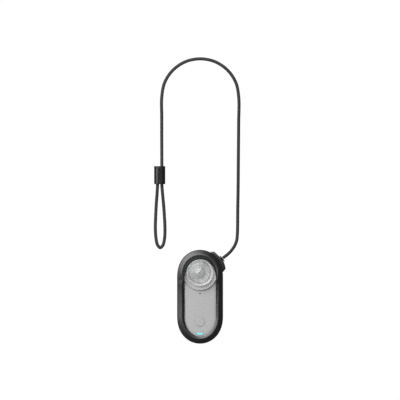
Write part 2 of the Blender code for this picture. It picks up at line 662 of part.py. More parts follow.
def lens_guard_ring(at_lens):
    """Thick outer ring with a skirt below it and bayonet tabs at the skirt's foot."""
    floor = LEDGE_HIGH + 0.3 * MM
    bore = GUARD_RADIUS - 1.5 * MM
    throat = bore + 0.05 * MM
    pocket = GLASS_RADIUS + THIN_GAP
    pocket_low = GLASS_LOW - THIN_GAP
    section = [(bore, TAB_LOW), (SKIRT_RADIUS, TAB_LOW), (SKIRT_RADIUS, floor),
               (GUARD_RADIUS - 0.2 * MM, floor), (GUARD_RADIUS, floor + 0.2 * MM), (GUARD_RADIUS, GUARD_TOP - 0.25 * MM),
               (GUARD_RADIUS - 0.15 * MM, GUARD_TOP), (pocket, GUARD_TOP), (pocket, pocket_low),
               (pocket - 0.35 * MM, pocket_low), (throat, GLASS_LOW - 1.3 * MM)]
    guard = turned("lens_guard_ring", section, "shell", at_lens, loop=True)
    for i in range(TAB_COUNT):
        tab = sector(f"guide_tab_{i}", SKIRT_RADIUS - 0.4 * MM, TAB_RADIUS, 360.0 * i / TAB_COUNT, TAB_SPAN,
                     TAB_LOW, TAB_HIGH, at_lens)
        fuse(guard, tab)


def lens_guard_glass(at_lens):
    """Domed window of the guard, let into the ring."""
    rim = GUARD_TOP - 0.1 * MM
    profile = [(0.0, GLASS_LOW), (GLASS_RADIUS, GLASS_LOW), (GLASS_RADIUS, rim)]
    for i in range(1, 6):
        share = i / 5.0
        profile.append((GLASS_RADIUS * (1.0 - share), rim + (GLASS_CROWN - rim) * (1.0 - (1.0 - share) ** 2)))
    turned("lens_guard_glass", profile, "glass", at_lens)


def lens_element(name, radius, low, high, bulge_low, bulge_high, at_lens):
    """A lens with a cylindrical edge and two domed faces."""
    profile = [(0.0, low)]
    for i in range(1, 6):
        share = i / 5.0
        profile.append((radius * share, low + bulge_low * share ** 2))
    for i in range(6):
        share = 1.0 - i / 5.0
        profile.append((radius * share, high - bulge_high * share ** 2))
    turned(name, profile, "glass", at_lens, segments=SMALL_SEGMENTS)


def lens_barrel(at_lens):
    inside = BARREL_RADIUS - 0.75 * MM
    stop = inside - 0.6 * MM
    head = BARREL_RADIUS + 1.15 * MM
    rim = head - 0.6 * MM
    head_top = RETAINER_LOW - THIN_GAP
    section = [(inside, BARREL_LOW), (BARREL_RADIUS, BARREL_LOW), (BARREL_RADIUS, BARREL_HEAD_LOW),
               (head, BARREL_HEAD_LOW + 1.0 * MM), (head, head_top), (rim, head_top),
               (rim, BARREL_HEAD_LOW + 1.4 * MM), (inside, BARREL_HEAD_LOW + 0.8 * MM),
               (inside, BARREL_LOW + 0.8 * MM), (stop, BARREL_LOW + 0.8 * MM), (stop, BARREL_LOW)]
    turned("lens_barrel", section, "black", at_lens, loop=True, segments=24)


def lens_elements(at_lens):
    """Three lenses and two spacers, from the sensor's side up, and the ring that holds them in."""
    element = BARREL_RADIUS - 0.75 * MM - THIN_GAP
    lens_element("rear_lens", element, BARREL_LOW + 0.95 * MM, 9.8 * MM, 0.0, 0.5 * MM, at_lens)
    ring("rear_spacer", element - 0.7 * MM, element, 9.6 * MM, 11.2 * MM, "black", at_lens, SMALL_SEGMENTS)
    lens_element("middle_lens", element, 11.35 * MM, 13.1 * MM, 0.3 * MM, 0.6 * MM, at_lens)
    ring("front_spacer", element - 0.6 * MM, element, 12.8 * MM, 14.2 * MM, "black", at_lens, SMALL_SEGMENTS)
    low = 14.35 * MM
    edge = low + 1.25 * MM
    shoulder = 17.2 * MM
    front = [(0.0, low), (element, low), (element, edge), (PUPIL_RADIUS, edge + 0.3 * MM)]
    for i in range(5):
        turn = 0.5 * pi * i / 5
        front.append((PUPIL_RADIUS * cos(turn), shoulder + (PUPIL_TOP - shoulder) * sin(turn)))
    front.append((0.0, PUPIL_TOP))
    turned("front_lens", front, "glass", at_lens, segments=24)
    head = BARREL_RADIUS + 1.15 * MM
    bore = PUPIL_RADIUS + THIN_GAP
    retainer = [(bore, RETAINER_LOW), (head, RETAINER_LOW), (head, RETAINER_TOP - 0.35 * MM),
                (head - 0.3 * MM, RETAINER_TOP), (head - 1.4 * MM, RETAINER_TOP),
                (head - 1.7 * MM, RETAINER_TOP - 0.4 * MM), (PUPIL_RADIUS + 0.5 * MM, RETAINER_TOP - 0.6 * MM),
                (bore, RETAINER_TOP - 0.3 * MM)]
    turned("lens_retainer", retainer, "black", at_lens, loop=True, segments=24)


def lens_holder(at_lens):
    """Socket for the barrel over the sensor, with the infrared filter in its floor."""
    foot = BARREL_RADIUS + 1.85 * MM
    neck = BARREL_RADIUS + 1.0 * MM
    socket = BARREL_RADIUS + PART_GAP
    window = IR_RADIUS - 0.5 * MM
    recess = IR_RADIUS + THIN_GAP
    floor = HOLDER_LOW + 1.3 * MM
    section = [(window, HOLDER_LOW), (foot, HOLDER_LOW), (foot, HOLDER_LOW + 1.6 * MM),
               (neck, HOLDER_LOW + 2.2 * MM), (neck, HOLDER_TOP), (socket, HOLDER_TOP),
               (socket, BARREL_LOW - THIN_GAP), (recess, BARREL_LOW - THIN_GAP), (recess, floor),
               (window, floor)]
    turned("lens_holder", section, "black", at_lens, loop=True, segments=24)
    disc("ir_filter", IR_RADIUS, floor + THIN_GAP, floor + 0.5 * MM, "glass", at_lens, SMALL_SEGMENTS)


def sensor_parts():
    board_high = HOLDER_LOW - THIN_GAP
    board_low = board_high - 0.8 * MM
    edge = 14.0 * MM
    board_size = (edge, edge, board_high - board_low)
    block("sensor_board", board_size, (0.0, LENS_Y, 0.5 * (board_low + board_high)), "board")
    sensor_height = 1.0 * MM
    block("image_sensor", (5.8 * MM, 4.6 * MM, sensor_height),
          (0.0, LENS_Y, board_high + THIN_GAP + 0.5 * sensor_height), "chip")
    plate = 0.5 * MM
    block("heat_spreader", (edge - 1.0 * MM, edge - 1.0 * MM, plate),
          (0.0, LENS_Y, board_low - THIN_GAP - 0.5 * plate), "copper")
    thickness = 0.2 * MM
    y_face = LENS_Y - 0.5 * edge - PART_GAP
    y_end = BOARD_END_Y - 0.6 * MM
    low = board_low + 0.1 * MM
    top = BOARD_HIGH + THIN_GAP + thickness
    inner = y_face - thickness
    side = [(y_face, low), (y_face, top), (y_end, top), (y_end, top - thickness), (inner, top - thickness),
            (inner, low)]
    strip("sensor_flex", side, 4.0 * MM, "flex")


def strip(name, side, width, finish):
    """A bent flat strip: an outline in the YZ plane, extruded across X."""
    rings = [[(x, y, z) for y, z in side] for x in (-0.5 * width, 0.5 * width)]
    add_object(name, mesh_from(name, rings), finish)


# ---------------------------------------------------------------- frame, boards and power

def screw_places():
    return [(sign_x, y) for y in SCREW_Y for sign_x in (-1, 1)]


def inner_frame():
    frame = prism("inner_frame", body_outline(2.6 * MM), FRAME_LOW, FRAME_HIGH, "steel")
    hole = BARREL_RADIUS + 2.95 * MM
    cut(frame, disc("guide_lens_hole", hole, FRAME_LOW - 1.0 * MM, FRAME_HIGH + 1.0 * MM, "steel",
                    (0.0, LENS_Y, 0.0)))
    window = (5.4 * MM, 4.4 * MM, 3.0 * MM)
    cut(frame, block("guide_lead_window", window, (0.0, LEAD_Y - 1.8 * MM, FRAME_LOW), "steel"))
    for sign_x, y in screw_places():
        cut(frame, disc(f"guide_frame_hole_{sign_x}_{y:.4f}", SCREW_RADIUS + PART_GAP, FRAME_LOW - 1.0 * MM,
                        FRAME_HIGH + 1.0 * MM, "steel", (sign_x * SCREW_X, y, 0.0), 16))


def housing_screws():
    head = 1.05 * MM
    head_high = FRAME_LOW - THIN_GAP
    head_low = head_high - 0.5 * MM
    socket = 0.45 * MM
    socket_top = head_low + 0.25 * MM
    profile = [(0.0, socket_top), (socket, socket_top), (socket, head_low), (head, head_low), (head, head_high),
               (SCREW_RADIUS, head_high), (SCREW_RADIUS, SCREW_TIP - 0.3 * MM), (0.0, SCREW_TIP)]
    for number, (sign_x, y) in enumerate(screw_places(), start=1):
        turned(f"housing_screw_{number}", profile, "steel", (sign_x * SCREW_X, y, 0.0), segments=12)


def main_board():
    corners = [(x, y) for x, y in body_outline(3.0 * MM) if y < -CAP_CENTRE]
    corners = [(min(max(x, -BOARD_HALF_WIDTH), BOARD_HALF_WIDTH), y) for x, y in corners]
    outline = [(BOARD_HALF_WIDTH, BOARD_END_Y), (-BOARD_HALF_WIDTH, BOARD_END_Y)]
    outline += [(x, y) for i, (x, y) in enumerate(corners) if i == 0 or corners[i - 1] != (x, y)]
    prism("main_board", outline, BOARD_LOW, BOARD_HIGH, "board")


def board_parts():
    """What is soldered on the main board, and what stands on it under the face's openings."""
    top = BOARD_HIGH + THIN_GAP
    mic_height = 0.8 * MM
    led_height = 0.6 * MM
    for name, size, centre, finish in (
        ("processor_shield", (10.0 * MM, 8.6 * MM, 1.4 * MM), (0.0, -4.6 * MM), "foil"),
        ("memory_chip", (5.2 * MM, 3.6 * MM, 0.9 * MM), (-4.6 * MM, -11.1 * MM), "chip"),
        ("microphone", (3.2 * MM, 2.4 * MM, mic_height), (0.0, MIC_Y), "foil"),
        ("status_led", (2.2 * MM, 1.0 * MM, led_height), (0.0, STATUS_Y), "cyan"),
        ("shutter_switch", (4.4 * MM, 4.4 * MM, 1.6 * MM), (0.0, BUTTON_Y), "foil"),
    ):
        block(name, size, (*centre, top + 0.5 * size[2]), finish)
    well = disc("guide_switch_well", PLUNGER_RADIUS + PART_GAP, top + 0.5 * MM, top + 3.0 * MM, "foil",
                (0.0, BUTTON_Y, 0.0), 20)
    cut(bpy.data.objects["shutter_switch"], well)
    mesh_low = FACE_INNER - 0.45 * MM
    ring("mic_boot", 0.5 * MM, 1.2 * MM, top + mic_height + THIN_GAP, mesh_low - THIN_GAP, "rubber",
         (0.0, MIC_Y, 0.0), 24)
    disc("mic_mesh", 1.1 * MM, mesh_low, FACE_INNER - PART_GAP, "steel", (0.0, MIC_Y, 0.0), 24)
    prism("status_window", status_outline(0.0), top + led_height + PART_GAP, BODY_DEPTH - 0.05 * MM, "cyan")


def wifi_antenna():
    low = FRAME_HIGH + PART_GAP
    high = SEAT_LOW - 0.6 * MM
    y = LENS_Y + BARREL_RADIUS + 3.45 * MM
    block("wifi_antenna", (9.0 * MM, 0.3 * MM, high - low), (0.0, y, 0.5 * (low + high)), "gold")


def shutter_button():
    """Cap with a flange behind the cover and a stem over the switch plunger."""
    top = BODY_DEPTH + 0.02 * MM
    edge = 0.12 * MM
    flange_high = FACE_INNER - PART_GAP
    flange_low = flange_high - 0.6 * MM
    flange = BUTTON_RADIUS + 0.7 * MM
    stem = 1.0 * MM
    stem_low = PLUNGER_TOP + THIN_GAP
    mark = BUTTON_RADIUS * 0.67
    groove = 0.1 * MM
    profile = [(0.0, stem_low), (stem, stem_low), (stem, flange_low), (flange, flange_low),
               (flange, flange_high),
               (BUTTON_RADIUS, flange_high), (BUTTON_RADIUS, top - edge), (BUTTON_RADIUS - edge, top),
               (mark + groove, top), (mark, top - edge), (mark - groove, top), (0.0, top)]
    turned("shutter_button", profile, "shell", (0.0, BUTTON_Y, 0.0), segments=24)
    foot = BOARD_HIGH + THIN_GAP + 0.5 * MM + BUTTON_TRAVEL + PART_GAP
    disc("switch_plunger", PLUNGER_RADIUS, foot, PLUNGER_TOP, "black", (0.0, BUTTON_Y, 0.0), 20)


def power_and_magnets():
    block("battery_cell", BATTERY, (0.0, BATTERY_Y, BATTERY_LOW + 0.5 * BATTERY[2]), "foil", 0.5 * MM)
    pad_low = BATTERY_LOW + BATTERY[2] + THIN_GAP
    pad = (14.0 * MM, 16.0 * MM, FRAME_LOW - THIN_GAP - pad_low)
    block("battery_pad", pad, (0.0, BATTERY_Y, pad_low + 0.5 * pad[2]), "rubber")
    thickness = 0.25 * MM
    top = BOARD_LOW - THIN_GAP
    y_end = LEAD_Y - 2.6 * MM
    low = BATTERY_LOW + 1.0 * MM
    inner = LEAD_Y - thickness
    side = [(LEAD_Y, low), (LEAD_Y, top), (y_end, top), (y_end, top - thickness), (inner, top - thickness),
            (inner, low)]
    strip("battery_lead", side, 3.6 * MM, "flex")
    magnet_low = BACK_FLOOR + PART_GAP
    height = 1.6 * MM
    for name, y in (("magnet_upper", LENS_Y), ("magnet_lower", BATTERY_Y)):
        block(name, (12.0 * MM, 8.0 * MM, height), (0.0, y, magnet_low + 0.5 * height), "steel", 0.2 * MM)


def contact_parts():
    """Block of charging contacts in the back, and the vibration motor that sits on it."""
    height = 2.3 * MM
    low = 0.1 * MM
    pin_low = 0.05 * MM
    pin_high = 2.2 * MM
    holder = block("contact_block", (*CONTACT_BLOCK, height), (0.0, CONTACT_Y, low + 0.5 * height), "black")
    profile = [(0.0, pin_low), (CONTACT_RADIUS - 0.2 * MM, pin_low), (CONTACT_RADIUS, pin_low + 0.15 * MM),
               (CONTACT_RADIUS, pin_high), (0.0, pin_high)]
    for number in range(1, CONTACT_COUNT + 1):
        place = (CONTACT_PITCH * (number - 0.5 * (CONTACT_COUNT + 1)), CONTACT_Y, 0.0)
        cut(holder, disc(f"guide_contact_hole_{number}", CONTACT_RADIUS + THIN_GAP, -1.0 * MM, 4.0 * MM,
                         "black", place, 16))
        turned(f"charge_contact_{number}", profile, "gold", place, segments=12)
    motor_low = low + height + THIN_GAP
    disc("vibration_motor", 3.6 * MM, motor_low, motor_low + 2.6 * MM, "steel", (0.0, CONTACT_Y, 0.0), 32)


def main():
    for old in list(bpy.data.objects):
        bpy.data.objects.remove(old, do_unlink=True)
    at_lens = (0.0, LENS_Y, 0.0)
    front_cover()
    rear_cover()
    housing_seal()
    protective_sleeve()
    cord_anchor()
    tether_cord()
    crimp_ferrule()
    bayonet_seat(at_lens)
    ring("guard_seal", SKIRT_RADIUS - 0.7 * MM, SKIRT_RADIUS, SEAT_TOP + THIN_GAP, TAB_LOW - THIN_GAP, "rubber",
         at_lens)
    lens_guard_ring(at_lens)
    lens_guard_glass(at_lens)
    lens_barrel(at_lens)
    lens_elements(at_lens)
    lens_holder(at_lens)
    sensor_parts()
    inner_frame()
    housing_screws()
    main_board()
    board_parts()
    wifi_antenna()
    shutter_button()
    power_and_magnets()
    contact_parts()


main()
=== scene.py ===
import json
from math import acos, atan2, cos, degrees, hypot, pi, radians, sin, sqrt, tan

import bpy
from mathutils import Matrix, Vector


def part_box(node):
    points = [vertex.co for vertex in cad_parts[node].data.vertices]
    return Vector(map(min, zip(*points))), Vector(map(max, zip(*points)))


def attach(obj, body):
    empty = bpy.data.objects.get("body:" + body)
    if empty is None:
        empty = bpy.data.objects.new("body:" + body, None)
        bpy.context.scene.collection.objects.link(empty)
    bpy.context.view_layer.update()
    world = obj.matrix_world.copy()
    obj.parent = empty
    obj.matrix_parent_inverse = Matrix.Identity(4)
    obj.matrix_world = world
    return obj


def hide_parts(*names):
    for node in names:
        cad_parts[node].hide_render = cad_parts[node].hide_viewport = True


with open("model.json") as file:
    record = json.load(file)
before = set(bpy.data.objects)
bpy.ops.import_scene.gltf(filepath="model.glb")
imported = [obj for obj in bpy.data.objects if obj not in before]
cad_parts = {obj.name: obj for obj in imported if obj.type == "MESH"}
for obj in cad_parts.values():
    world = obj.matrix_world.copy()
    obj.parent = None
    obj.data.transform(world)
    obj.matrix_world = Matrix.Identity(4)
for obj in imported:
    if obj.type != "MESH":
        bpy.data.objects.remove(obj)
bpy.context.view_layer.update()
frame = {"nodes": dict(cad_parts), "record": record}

mm = 0.001
bpy.ops.object.select_all(action="DESELECT")


def nodeBox(node):
    low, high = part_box(node)
    return Vector(low), Vector(high)


sleeveLow, sleeveHigh = nodeBox("protective_sleeve")
coverLow, coverHigh = nodeBox("front_cover")
backLow, backHigh = nodeBox("rear_cover")
guardLow, guardHigh = nodeBox("lens_guard_ring")
glassLow, glassHigh = nodeBox("lens_guard_glass")
buttonLow, buttonHigh = nodeBox("shutter_button")
statusLow, statusHigh = nodeBox("status_window")

# what several pieces share, read off the frame
camera = {
    "halfWidth": coverHigh.x,
    "halfLength": coverHigh.y,
    "faceHeight": 16.0 * mm,
    "capCentre": 11.55 * mm,
    "capPower": 2.3,
    "faceFillet": 4.7 * mm,
    "backFillet": 4.0 * mm,
    "wall": 1.2 * mm,
    "gap": 0.25 * mm,
}
lensY = 0.5 * (guardLow.y + guardHigh.y)
guardRadius = 0.5 * (guardHigh.x - guardLow.x)
atLens = Vector((0.0, lensY, 0.0))


# small helpers for the hand work

def clearSelection():
    if bpy.context.mode != "OBJECT":
        bpy.ops.object.mode_set(mode="OBJECT")
    bpy.ops.object.select_all(action="DESELECT")


def activate(piece):
    clearSelection()
    piece.select_set(True)
    bpy.context.view_layer.objects.active = piece


def startPiece(name):
    piece = bpy.context.active_object
    piece.name = name
    piece.data.name = name
    return piece


def settle(piece):
    activate(piece)
    bpy.ops.object.transform_apply(location=True, rotation=True, scale=True)


def applyModifier(piece, kind, **values):
    activate(piece)
    step = piece.modifiers.new(kind, kind)
    for key, value in values.items():
        setattr(step, key, value)
    bpy.ops.object.modifier_apply(modifier=step.name)


def roundEdges(piece, width, segments=3, angle=35.0):
    applyModifier(piece, "BEVEL", width=width, segments=segments, limit_method="ANGLE",
                  angle_limit=radians(angle), use_clamp_overlap=True)


def carve(piece, tool, operation="DIFFERENCE"):
    applyModifier(piece, "BOOLEAN", operation=operation, solver="EXACT", object=tool)
    bpy.data.objects.remove(tool, do_unlink=True)


def selectWhere(piece, kind, test):
    # picks vertices, edges or faces by their place, from object mode, then opens edit mode
    clearSelection()
    bpy.context.view_layer.objects.active = piece
    piece.select_set(True)
    mesh = piece.data
    for group in (mesh.vertices, mesh.edges, mesh.polygons):
        for item in group:
            item.select = False
    if kind == "VERT":
        for vertex in mesh.vertices:
            vertex.select = test(vertex.co)
    elif kind == "EDGE":
        for edge in mesh.edges:
            ends = [mesh.vertices[i].co for i in edge.vertices]
            edge.select = test(ends[0]) and test(ends[1])
    else:
        for face in mesh.polygons:
            face.select = test(face.center, face.normal)
    bpy.ops.object.mode_set(mode="EDIT")
    bpy.ops.mesh.select_mode(type=kind)


def smooth(piece, angle=32.0):
    activate(piece)
    bpy.ops.object.shade_smooth_by_angle(angle=radians(angle))


def place(piece, body, slot, *nodes):
    clearSelection()
    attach(piece, body)
    if nodes:
        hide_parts(*nodes)
    return piece


def lathe(name, profile, centre, turns=112, closed=True, soften=0.0):
    # one vertex is extruded along the profile, its corners are rounded, and it is spun round the axis
    bpy.ops.mesh.primitive_plane_add(size=1.0 * mm, location=(0.0, 0.0, 0.0))
    piece = startPiece(name)
    bpy.ops.object.mode_set(mode="EDIT")
    bpy.ops.mesh.select_mode(type="VERT")
    bpy.ops.mesh.select_all(action="SELECT")
    bpy.ops.mesh.merge(type="CENTER")
    bpy.ops.transform.translate(value=(profile[0][0], 0.0, profile[0][1]))
    path = list(profile[1:]) + ([profile[0]] if closed else [])
    here = profile[0]
    for point in path:
        step = (point[0] - here[0], 0.0, point[1] - here[1])
        bpy.ops.mesh.extrude_region_move(TRANSFORM_OT_translate={"value": step})
        here = point
    bpy.ops.mesh.select_all(action="SELECT")
    bpy.ops.mesh.remove_doubles(threshold=0.001 * mm)
    if soften:
        bpy.ops.mesh.bevel(offset=soften, segments=4, affect="VERTICES", clamp_overlap=True)
    bpy.ops.mesh.select_all(action="SELECT")
    bpy.ops.mesh.spin(steps=turns, angle=2.0 * pi, center=(0.0, 0.0, 0.0), axis=(0.0, 0.0, 1.0))
    bpy.ops.mesh.select_all(action="SELECT")
    bpy.ops.mesh.remove_doubles(threshold=0.002 * mm)
    bpy.ops.mesh.normals_make_consistent(inside=False)
    bpy.ops.transform.translate(value=centre)
    bpy.ops.object.mode_set(mode="OBJECT")
    return piece


def post(name, radius, low, high, centre, vertices=48):
    # a plain round tool for cutting holes
    bpy.ops.mesh.primitive_cylinder_add(vertices=vertices, radius=radius, depth=high - low,
                                        location=(centre[0], centre[1], 0.5 * (low + high)))
    piece = startPiece(name)
    settle(piece)
    return piece


# materials

def newMaterial(name, colour, roughness, metallic=0.0):
    material = bpy.data.materials.new(name)
    material.use_nodes = True
    nodes = material.node_tree.nodes
    shader = nodes["Principled BSDF"]
    shader.inputs["Base Color"].default_value = (*colour, 1.0)
    shader.inputs["Roughness"].default_value = roughness
    shader.inputs["Metallic"].default_value = metallic
    return material, nodes, material.node_tree.links, shader


def grain(material, scale, colourDark, colourLight, roughLow, roughHigh, bump, bumpScale, detail=4.0):
    # mottled colour and roughness from a wide noise, relief from a fine one
    nodes = material.node_tree.nodes
    links = material.node_tree.links
    shader = nodes["Principled BSDF"]
    coords = nodes.new("ShaderNodeTexCoord")
    wide = nodes.new("ShaderNodeTexNoise")
    wide.inputs["Scale"].default_value = scale
    wide.inputs["Detail"].default_value = detail
    links.new(coords.outputs["Object"], wide.inputs["Vector"])
    ramp = nodes.new("ShaderNodeValToRGB")
    ramp.color_ramp.elements[0].position = 0.35
    ramp.color_ramp.elements[0].color = (*colourDark, 1.0)
    ramp.color_ramp.elements[1].position = 0.65
    ramp.color_ramp.elements[1].color = (*colourLight, 1.0)
    links.new(wide.outputs["Fac"], ramp.inputs["Fac"])
    links.new(ramp.outputs["Color"], shader.inputs["Base Color"])
    spread = nodes.new("ShaderNodeMapRange")
    spread.inputs["From Min"].default_value = 0.3
    spread.inputs["From Max"].default_value = 0.7
    spread.inputs["To Min"].default_value = roughLow
    spread.inputs["To Max"].default_value = roughHigh
    links.new(wide.outputs["Fac"], spread.inputs["Value"])
    links.new(spread.outputs["Result"], shader.inputs["Roughness"])
    fine = nodes.new("ShaderNodeTexNoise")
    fine.inputs["Scale"].default_value = bumpScale
    fine.inputs["Detail"].default_value = 3.0
    links.new(coords.outputs["Object"], fine.inputs["Vector"])
    relief = nodes.new("ShaderNodeBump")
    relief.inputs["Strength"].default_value = bump
    relief.inputs["Distance"].default_value = 0.03 * mm
    links.new(fine.outputs["Fac"], relief.inputs["Height"])
    links.new(relief.outputs["Normal"], shader.inputs["Normal"])
    return material


def siliconeFinish():
    material, nodes, links, shader = newMaterial("sleeveSilicone", (0.01, 0.01, 0.011), 0.36)
    grain(material, 220.0, (0.005, 0.005, 0.0054), (0.008, 0.008, 0.0086), 0.36, 0.43, 0.35, 5200.0)
    shader.inputs["Specular IOR Level"].default_value = 0.95
    return material


def shellFinish(name="shellSatin", tone=0.465):
    material, nodes, links, shader = newMaterial(name, (tone, tone, tone), 0.4)
    dark = (tone * 0.985, tone * 0.985, tone * 0.98)
    light = (tone * 1.015, tone * 1.015, tone * 1.01)
    grain(material, 160.0, dark, light, 0.36, 0.44, 0.18, 7000.0)
    shader.inputs["Coat Weight"].default_value = 0.15
    shader.inputs["Coat Roughness"].default_value = 0.3
    return material


def polymerFinish(name, colour, roughness):
    material, nodes, links, shader = newMaterial(name, colour, roughness)
    dark = tuple(0.85 * c for c in colour)
    light = tuple(1.15 * c for c in colour)
    grain(material, 600.0, dark, light, roughness - 0.05, roughness + 0.07, 0.25, 6000.0)
    return material


def metalFinish(name, colour, roughness, stretch=(1.0, 12.0, 1.0)):
    # fine lines drawn out along the rolling direction
    material, nodes, links, shader = newMaterial(name, colour, roughness, 1.0)
    dark = tuple(0.9 * c for c in colour)
    grain(material, 500.0, dark, colour, roughness - 0.06, roughness + 0.1, 0.3, 3000.0)
    mapping = nodes.new("ShaderNodeMapping")
    mapping.inputs["Scale"].default_value = stretch
    coords = next(node for node in nodes if node.bl_idname == "ShaderNodeTexCoord")
    links.new(coords.outputs["Object"], mapping.inputs["Vector"])
    for node in nodes:
        if node.bl_idname == "ShaderNodeTexNoise":
            links.new(mapping.outputs["Vector"], node.inputs["Vector"])
    return material


def glassFinish(name, tint, roughness, coating):
    # clear glass: it mirrors by its angle and lets the rest through, with a faint coating colour
    material, nodes, links, shader = newMaterial(name, tint, roughness, 1.0)
    tilt = nodes.new("ShaderNodeLayerWeight")
    steep = nodes.new("ShaderNodeMath")
    steep.operation = "POWER"
    steep.inputs[1].default_value = 5.0
    links.new(tilt.outputs["Facing"], steep.inputs[0])
    lift = nodes.new("ShaderNodeMath")
    lift.operation = "MULTIPLY_ADD"
    lift.inputs[1].default_value = 0.9
    lift.inputs[2].default_value = 0.043 + coating
    links.new(steep.outputs[0], lift.inputs[0])
    links.new(lift.outputs[0], shader.inputs["Alpha"])
    coords = nodes.new("ShaderNodeTexCoord")
    smudge = nodes.new("ShaderNodeTexNoise")
    smudge.inputs["Scale"].default_value = 180.0
    links.new(coords.outputs["Object"], smudge.inputs["Vector"])
    spread = nodes.new("ShaderNodeMapRange")
    spread.inputs["To Min"].default_value = roughness
    spread.inputs["To Max"].default_value = roughness + 0.05
    links.new(smudge.outputs["Fac"], spread.inputs["Value"])
    links.new(spread.outputs["Result"], shader.inputs["Roughness"])
    return material


def boardFinish():
    # solder mask with a grid of copper pads under it
    material, nodes, links, shader = newMaterial("boardMask", (0.01, 0.09, 0.045), 0.35)
    coords = nodes.new("ShaderNodeTexCoord")
    bricks = nodes.new("ShaderNodeTexBrick")
    bricks.inputs["Scale"].default_value = 900.0
    bricks.inputs["Mortar Size"].default_value = 0.08
    bricks.inputs["Color1"].default_value = (0.01, 0.085, 0.04, 1.0)
    bricks.inputs["Color2"].default_value = (0.012, 0.11, 0.055, 1.0)
    bricks.inputs["Mortar"].default_value = (0.05, 0.2, 0.1, 1.0)
    links.new(coords.outputs["Object"], bricks.inputs["Vector"])
    links.new(bricks.outputs["Color"], shader.inputs["Base Color"])
    relief = nodes.new("ShaderNodeBump")
    relief.inputs["Strength"].default_value = 0.3
    relief.inputs["Distance"].default_value = 0.03 * mm
    links.new(bricks.outputs["Fac"], relief.inputs["Height"])
    links.new(relief.outputs["Normal"], shader.inputs["Normal"])
    return material


def statusFinish():
    # a lit light pipe, brightest in its middle
    material, nodes, links, shader = newMaterial("statusGlow", (0.3, 0.8, 0.84), 0.25)
    coords = nodes.new("ShaderNodeTexCoord")
    centre = nodes.new("ShaderNodeMapping")
    centre.inputs["Location"].default_value = (0.0, -0.5 * (statusLow.y + statusHigh.y), 0.0)
    links.new(coords.outputs["Object"], centre.inputs["Vector"])
    split = nodes.new("ShaderNodeSeparateXYZ")
    links.new(centre.outputs["Vector"], split.inputs["Vector"])
    far = nodes.new("ShaderNodeMath")
    far.operation = "ABSOLUTE"
    links.new(split.outputs["X"], far.inputs[0])
    fade = nodes.new("ShaderNodeMapRange")
    fade.inputs["From Min"].default_value = 0.5 * mm
    fade.inputs["From Max"].default_value = 2.2 * mm
    fade.inputs["To Min"].default_value = 0.0
    fade.inputs["To Max"].default_value = 1.0
    links.new(far.outputs[0], fade.inputs["Value"])
    blend = nodes.new("ShaderNodeMix")
    blend.data_type = "RGBA"
    blend.inputs["A"].default_value = (0.24, 0.64, 0.65, 1.0)
    blend.inputs["B"].default_value = (0.21, 0.56, 0.58, 1.0)
    links.new(fade.outputs["Result"], blend.inputs["Factor"])
    links.new(blend.outputs["Result"], shader.inputs["Emission Color"])
    links.new(blend.outputs["Result"], shader.inputs["Base Color"])
    shader.inputs["Emission Strength"].default_value = 0.42
    return material


def braidFinish():
    # strands shaded across the cord's own coordinates: U round it, V along it
    material, nodes, links, shader = newMaterial("cordBraid", (0.03, 0.03, 0.031), 0.75)
    coords = nodes.new("ShaderNodeTexCoord")
    waves = []
    for turn in (0.62, -0.62):
        mapping = nodes.new("ShaderNodeMapping")
        mapping.inputs["Rotation"].default_value = (0.0, 0.0, turn)
        links.new(coords.outputs["UV"], mapping.inputs["Vector"])
        wave = nodes.new("ShaderNodeTexWave")
        wave.inputs["Scale"].default_value = 3.0
        wave.inputs["Distortion"].default_value = 0.6
        links.new(mapping.outputs["Vector"], wave.inputs["Vector"])
        waves.append(wave)
    top = nodes.new("ShaderNodeMath")
    top.operation = "MAXIMUM"
    links.new(waves[0].outputs["Fac"], top.inputs[0])
    links.new(waves[1].outputs["Fac"], top.inputs[1])
    ramp = nodes.new("ShaderNodeValToRGB")
    ramp.color_ramp.elements[0].color = (0.016, 0.016, 0.017, 1.0)
    ramp.color_ramp.elements[1].color = (0.046, 0.046, 0.048, 1.0)
    links.new(top.outputs[0], ramp.inputs["Fac"])
    links.new(ramp.outputs["Color"], shader.inputs["Base Color"])
    fuzz = nodes.new("ShaderNodeTexNoise")
    fuzz.inputs["Scale"].default_value = 9000.0
    links.new(coords.outputs["Object"], fuzz.inputs["Vector"])
    relief = nodes.new("ShaderNodeBump")
    relief.inputs["Strength"].default_value = 0.4
    relief.inputs["Distance"].default_value = 0.03 * mm
    links.new(fuzz.outputs["Fac"], relief.inputs["Height"])
    links.new(relief.outputs["Normal"], shader.inputs["Normal"])
    shader.inputs["Specular IOR Level"].default_value = 0.35
    return material


silicone = siliconeFinish()
shell = shellFinish()
# the guard ring gets a lighter copy of the shell satin: painted light that makes up for the shade under the
# glass and in the gaps round the lens
guardShellLightened = shellFinish("guardSatinLightened", 0.54)
lensGrey = polymerFinish("lensGrey", (0.42, 0.42, 0.42), 0.35)
moulded = polymerFinish("mouldedBlack", (0.03, 0.03, 0.032), 0.4)
crimpBlack = polymerFinish("crimpBlack", (0.012, 0.012, 0.013), 0.22)
anchorBlack = polymerFinish("anchorBlack", (0.010, 0.010, 0.011), 0.5)
softRubber = polymerFinish("softRubber", (0.015, 0.015, 0.015), 0.7)
chipPlastic = polymerFinish("chipPlastic", (0.03, 0.03, 0.034), 0.45)
flexFilm = polymerFinish("flexFilm", (0.5, 0.22, 0.03), 0.35)
steel = metalFinish("steel", (0.52, 0.53, 0.55), 0.32)
copper = metalFinish("copper", (0.72, 0.38, 0.2), 0.35)
gold = metalFinish("goldPlate", (0.8, 0.58, 0.24), 0.25)
foil = metalFinish("brightFoil", (0.6, 0.6, 0.62), 0.3, (12.0, 1.0, 1.0))
guardGlass = glassFinish("guardGlass", (0.90, 0.97, 0.92), 0.2, 0.01)
opticGlass = glassFinish("opticGlass", (0.75, 0.80, 0.90), 0.04, 0.03)
boardMask = boardFinish()
statusGlow = statusFinish()
braid = braidFinish()
print("materials made")


# camera, light, floor

